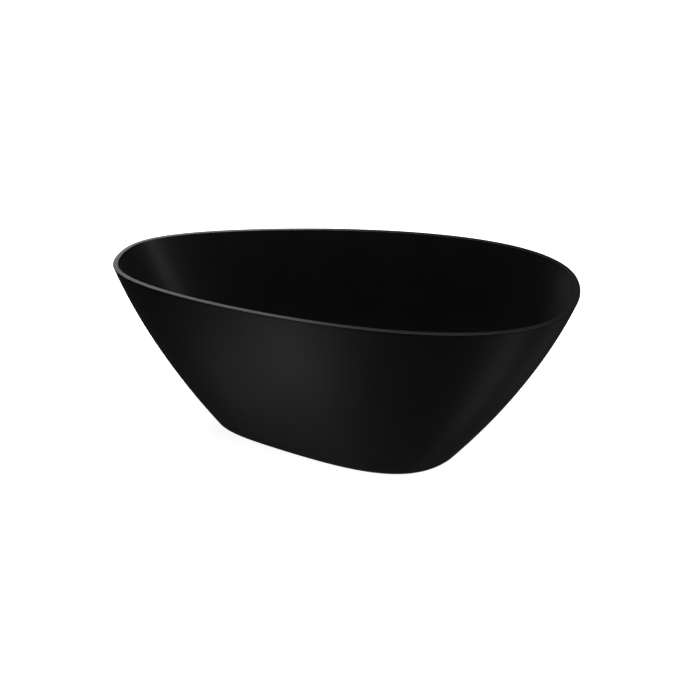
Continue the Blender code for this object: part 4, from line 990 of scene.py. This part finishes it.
def brass():
    """Turned brass, slightly tarnished, with tool rings a third of a millimetre apart."""
    finish = Finish("turned_brass", metallic=1.0)
    tarnish = finish.noise(140.0, 4.0)
    rings = (finish.height() * (TURN / 0.00035)).sum("SINE")
    colour = finish.colours(tarnish, (0.30, (0.42, 0.27, 0.10)), (0.6, (0.68, 0.49, 0.22)),
                            (0.8, (0.76, 0.58, 0.30)))
    roughness = 0.26 + (1.0 - tarnish.clipped(0.3, 0.6)) * 0.22
    return finish.surface(colour, roughness, (rings, 0.000006))


def rubber():
    """Black rubber: matt, faintly pitted, with a pale dust in its hollows."""
    finish = Finish("black_rubber", specular=0.3)
    pits = finish.noise(1600.0, 3.0)
    dust = finish.noise(45.0, 5.0, 0.65)
    colour = finish.mix(dust.clipped(0.52, 0.75) * 0.35, (0.018, 0.018, 0.018), (0.075, 0.072, 0.068))
    roughness = 0.72 + (pits - 0.5) * 0.2 + dust.clipped(0.5, 0.8) * 0.1
    return finish.surface(colour, roughness, (pits, 0.00003))


def white_plastic():
    """Moulded white polypropylene: a fine spark-eroded texture, a waxy sheen and slow flow marks."""
    finish = Finish("white_polypropylene", specular=0.45)
    texture = finish.noise(1900.0, 2.0)
    flow = finish.noise(28.0, 3.0, 0.5, distortion=1.2)
    dust = finish.noise(70.0, 5.0, 0.65).clipped(0.60, 0.80)
    colour = finish.colours(flow, (0.30, (0.70, 0.70, 0.68)), (0.70, (0.79, 0.79, 0.775)))
    colour = finish.mix(dust * 0.25, colour, (0.52, 0.49, 0.44))
    roughness = 0.42 + (flow - 0.5) * 0.12 + dust * 0.2
    return finish.surface(colour, roughness, (texture, 0.00002), Subsurface_Weight=0.05)


def board():
    """Raw chipboard: pressed flakes in several tans, darker fines between them, and sawn pores."""
    finish = Finish("chipboard", specular=0.25)
    flake = finish.red(finish.cells(150.0, "Color", stretch=(1.0, 1.9, 3.0)))
    small = finish.red(finish.cells(420.0, "Color", stretch=(1.8, 1.0, 2.6)))
    gap = finish.cells(150.0, feature="DISTANCE_TO_EDGE", stretch=(1.0, 1.9, 3.0)).clipped(0.0, 0.06)
    drift = finish.noise(7.0, 4.0)
    colour = finish.colours(flake * 0.6 + small * 0.4, (0.1, (0.22, 0.13, 0.065)), (0.4, (0.38, 0.25, 0.13)),
                            (0.7, (0.52, 0.37, 0.21)), (0.95, (0.64, 0.50, 0.32)))
    colour = finish.mix((1.0 - gap) * 0.6, colour, (0.15, 0.09, 0.05))
    colour = finish.mix(drift.clipped(0.4, 0.8) * 0.3, colour, (0.42, 0.30, 0.19))
    return finish.surface(colour, 0.78 + small * 0.15, (gap, 0.00015), (small, 0.0001))


def adhesive():
    """Cured polyurethane bead: off-white with yellowing and small bubbles."""
    finish = Finish("cured_adhesive", specular=0.4)
    lumps = finish.noise(55.0, 4.0)
    bubbles = finish.cells(380.0).clipped(0.08, 0.22)
    colour = finish.colours(lumps, (0.3, (0.50, 0.45, 0.33)), (0.7, (0.68, 0.65, 0.55)))
    return finish.surface(colour, 0.5 + (lumps - 0.5) * 0.2, (lumps, 0.0006), (bubbles, 0.0001))


ACRYLIC, POWDER, STEEL, ZINC = matt_acrylic(), powder_black(), galvanised(), zinc_plate()
STAINLESS, BRASS, RUBBER, PLASTIC = stainless(), brass(), rubber(), white_plastic()
BOARD, ADHESIVE = board(), adhesive()
SLOT_FINISH = {"black_acrylic": ACRYLIC, "black_metal": POWDER, "adhesive": ADHESIVE, "board": BOARD,
               "galvanised_steel": STEEL, "zinc_plate": ZINC, "rubber": RUBBER, "white_plastic": PLASTIC,
               "brass": BRASS, "stainless": STAINLESS}


# ------------------------------------------------------------------ pieces in their places
def stand(name, part, node, body="tub", sharp=38.0):
    """A new piece that stands for one CAD node and takes the finish of that node's slot."""
    slot = SLOT_OF[node]
    return piece(name, part, SLOT_FINISH[slot], body, [node], slot, sharp)


SLOT_OF = {entry["node"]: entry["material_slot"] for entry in frame["record"]["subparts"]}
for node, carried in frame["nodes"].items():
    carried.data.materials.clear()
    carried.data.materials.append(SLOT_FINISH[SLOT_OF[node]])

stand("tub_basin", basin_part(), "basin_shell")
stand("tub_skirt", skirt_part(), "outer_skirt")

stand("waste_flange_turned", waste_flange_part(), "waste_flange")
stand("waste_body_moulded", waste_body_part(), "waste_body")
stand("trap_bottle", trap_part(), "trap_body")
union_low = OUTLET_END - 2 * GAP - TRAP_SEAL - COLLAR_HEIGHT - UNION_LIP
union_top = OUTLET_END + UNION_RISE
stand("trap_union", ribbed_nut((UNION_RADIUS, OUTLET_RADIUS + GAP, INLET_RADIUS + GAP),
                               (union_low, union_low + UNION_LIP - GAP, union_top),
                               32, 0.0016, (union_low + 0.002, union_top - 0.002)), "trap_union_nut")
stand("trap_cup", ribbed_nut((0.039, TRAP_RADIUS + GAP, 0.0001), (0.006, 0.0095, 0.022),
                             40, 0.0016, (0.0075, 0.0205)), "trap_cleaning_cup")
SPIGOT_END = facing((-1, 0, 0), (DRAIN_X - SPIGOT_REACH + 0.012, 0.0, SPIGOT_HEIGHT))
stand("outlet_union", ribbed_nut((0.0243, 0.0211, SPIGOT_RADIUS + GAP), (-0.012, -0.0043, 0.004),
                                 28, 0.0014, (-0.0105, 0.0028), SPIGOT_END), "outlet_nut")
stand("outlet_washer", washer(SPIGOT_RADIUS + GAP, 0.0208, -0.004, 0.0, SPIGOT_END), "outlet_seal")
seal_top = OUTLET_END - GAP
stand("trap_washer", washer(INLET_THROAT, INLET_COLLAR, seal_top - TRAP_SEAL, seal_top, DRAIN), "trap_seal")
seal_low = SEAT + GAP
stand("flange_washer", washer(DRAIN_HOLE, 0.034, seal_low, seal_low + FLANGE_SEAL, DRAIN), "flange_seal")
seal_low, seal_top = UNDERSIDE - GAP - BODY_SEAL, UNDERSIDE - GAP
body_ring = [(0.027, seal_low), (0.040, seal_low), (0.039, seal_top), (0.027, seal_top)]
stand("body_washer", turned(body_ring, 0.0008, DRAIN), "body_seal")
stem_seat = CARTRIDGE_LOW + 0.0012
cartridge = [(0.0, CARTRIDGE_LOW), (CARTRIDGE_RADIUS, CARTRIDGE_LOW), (CARTRIDGE_RADIUS, CARTRIDGE_TOP),
             (STEM_BORE, CARTRIDGE_TOP), (STEM_BORE, stem_seat), (0.0, stem_seat)]
stand("cartridge_turned", turned(cartridge, 0.0005, DRAIN, 48, closed=False), "plug_cartridge")
stand("plug_cap_domed", plug_cap_part(), "plug_cap", "plug")
plug_ring = [(0.0218, BRIM - 0.0022), (0.0240, BRIM - 0.0022), (0.0252, BRIM - GAP), (0.0218, BRIM - GAP)]
stand("plug_ring_seal", turned(plug_ring, 0.0005, DRAIN), "plug_seal", "plug")
stem = rounded_bar(STEM_RADIUS, at_drain(stem_seat + GAP), at_drain(BRIM + 0.0007))
stand("plug_stem_turned", stem, "plug_stem", "plug")
spring_low, spring_high = CARTRIDGE_TOP + 0.0008, BRIM - CAP_HUB - 0.0008
turn = np.linspace(0.0, TURN * SPRING_TURNS, 141)
coil = np.stack([DRAIN_X + SPRING_RADIUS * np.cos(turn), SPRING_RADIUS * np.sin(turn),
                 np.linspace(spring_low, spring_high, len(turn))], axis=1)
wire = swept(coil, SPRING_WIRE, 12)
first, last = (np.broadcast_to(end, wire[:1].shape) for end in (coil[:1, None], coil[-1:, None]))
spring = stand("plug_return_spring", grid(np.concatenate([first, wire, last])), "plug_spring", None)
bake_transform(spring)

stand("overflow_cover_domed", overflow_cover_part(), "overflow_cover")
stand("overflow_cup", overflow_body_part(), "overflow_body")
seal_top = -BASIN_WALL - 2 * GAP
cup_washer = washer(0.0208, CUP_FLANGE, seal_top - CUP_SEAL, seal_top, OVERFLOW)
stand("overflow_washer", cup_washer, "overflow_seal")
stand("overflow_socket_screw", socket_screw(SCREW_HEAD, COVER_STAND + COVER_SINK + GAP, COVER_STAND + 0.0042,
                                            SCREW_SHANK, OVERFLOW_BACK + 0.0045, OVERFLOW), "overflow_screw")
stand("overflow_corrugated_hose", hose_part(), "overflow_hose")

feet = [box_centre("foot_pad_%d" % number) for number in range(1, 6)]
for number, foot in enumerate(feet, 1):
    spot = Matrix.Translation((foot.x, foot.y, 0.0))
    stand("levelling_pad_%d" % number, pad_part(spot), "foot_pad_%d" % number, "foot_%d_pad" % number)
    stand("levelling_stud_%d" % number, stud_part(spot), "foot_stud_%d" % number,
          "foot_%d_stud" % number, 60.0)
    stand("lock_nut_%d" % number, nut_part(spot), "foot_lock_nut_%d" % number)

bolts = [box_centre("board_bolt_%d" % number) for number in range(1, 5)]
for name, at in (("wide", (0, 1)), ("narrow", (2, 3)), ("centre", (4,))):
    node = "cross_member_" + name
    middle = box_centre(node)
    holes = [(feet[k].y - middle.y, 0, STUD_HOLE) for k in at]
    if name != "centre":
        holes += [(bolts[k].y - middle.y, side, BOLT_HOLE) for k in at for side in (0, 2)]
    stand("cross_tube_" + name, tube_part(node, 1, holes), node)
for side in ("front", "rear"):
    stand("rail_tube_" + side, tube_part("side_rail_" + side, 0), "side_rail_" + side)


# ------------------------------------------------------------------ studio
def softbox(name, place, target, size, power):
    """Rectangular white area light facing a point, unseen by the camera."""
    data = bpy.data.lights.new(name, "AREA")
    data.shape = "RECTANGLE"
    data.size, data.size_y = size
    data.energy = power
    light = shown(name, data)
    light.location = place
    light.rotation_euler = (Vector(target) - light.location).to_track_quat("-Z", "Y").to_euler()
    light.visible_camera = False


AZIMUTH, ELEVATION, LENS = math.radians(11.219), math.radians(28.515), 59.15
SHIFT_RIGHT, SHIFT_UP, DISTANCE = 0.030, 0.264, 4.185
WHITE, LIT_GREY, FLOOR_GREY = (1.0, 1.0, 1.0, 1.0), (0.06, 0.06, 0.06, 1.0), (0.9, 0.9, 0.9, 1.0)
FLOOR_GLOW = 0.92

right = Vector((math.cos(AZIMUTH), math.sin(AZIMUTH), 0.0))
level = math.cos(ELEVATION)
back = Vector((math.sin(AZIMUTH) * level, -math.cos(AZIMUTH) * level, math.sin(ELEVATION)))
up = back.cross(right)
camera = shown("camera", bpy.data.cameras.new("camera"))
camera.data.lens = LENS
camera.location = right * SHIFT_RIGHT + up * SHIFT_UP + back * DISTANCE
camera.rotation_euler = Matrix((right, up, back)).transposed().to_euler()
camera.data.clip_end = 200.0
bpy.context.scene.camera = camera

softbox("back_left", (-1.45, 2.25, 1.55), (-0.2, -0.2, 0.6), (1.7, 0.8), 15.0)
softbox("lobe_right", (-1.19, -1.85, -1.17), (-0.1, -0.35, 0.5), (0.6, 0.6), 5.6)
softbox("lobe_left", (-1.71, -1.08, -1.62), (-0.3, -0.3, 0.3), (0.6, 0.6), 1.5)
softbox("front_low", (-0.2, -3.2, -2.6), (0.0, -0.3, 0.3), (3.0, 2.0), 2.5)
softbox("streak_left", (2.3, -1.2, -1.8), (0.6, -0.3, 0.5), (0.3, 1.6), 5.2)
softbox("streak_right", (2.5, 0.9, -1.5), (0.7, -0.2, 0.5), (0.3, 1.6), 1.1)
softbox("right", (3.6, -1.6, 1.4), (0.3, 0.0, 0.4), (0.5, 1.6), 32.0)
softbox("overhead", (0.2, 0.4, 4.5), (0.0, 0.0, 0.0), (3.0, 2.0), 210.0)
softbox("rear_low", (-0.6, 3.0, -2.2), (0.0, 0.3, 0.3), (2.0, 0.8), 16.0)
softbox("under", (0.0, 0.0, -1.8), (0.0, 0.0, 0.0), (0.5, 0.5), 3.0)

world = bpy.data.worlds.new("studio")
bpy.context.scene.world = world
world.use_nodes = True
tree = world.node_tree
background = tree.nodes["Background"]
path = tree.nodes.new("ShaderNodeLightPath")
shade = tree.nodes.new("ShaderNodeMix")
shade.data_type = "RGBA"
shade.inputs[6].default_value = LIT_GREY
shade.inputs[7].default_value = WHITE
tree.links.new(path.outputs["Is Camera Ray"], shade.inputs[0])
tree.links.new(shade.outputs[2], background.inputs["Color"])

floor_mesh = bpy.data.meshes.new("studio_floor")
floor_mesh.from_pydata([(-60, -60, 0), (60, -60, 0), (60, 60, 0), (-60, 60, 0)], [], [(0, 1, 2, 3)])
floor = shown("studio_floor", floor_mesh)
paint = Finish("pale_floor", specular=0.0)
paint.surface(FLOOR_GREY, 1.0, Emission_Color=WHITE, Emission_Strength=FLOOR_GLOW)
floor_mesh.materials.append(paint.material)
faces = {0: paint.wire("ShaderNodeNewGeometry", "Backfacing"), 1: Wire(paint, paint.shader.outputs[0]),
         2: paint.wire("ShaderNodeBsdfTransparent", 0)}
either = paint.wire("ShaderNodeMixShader", 0, sockets=faces)
paint.tree.links.new(either.socket, paint.tree.nodes["Material Output"].inputs[0])
floor.visible_diffuse = floor.visible_glossy = floor.visible_transmission = floor.visible_shadow = False
bpy.context.scene.view_settings.view_transform = "Standard"
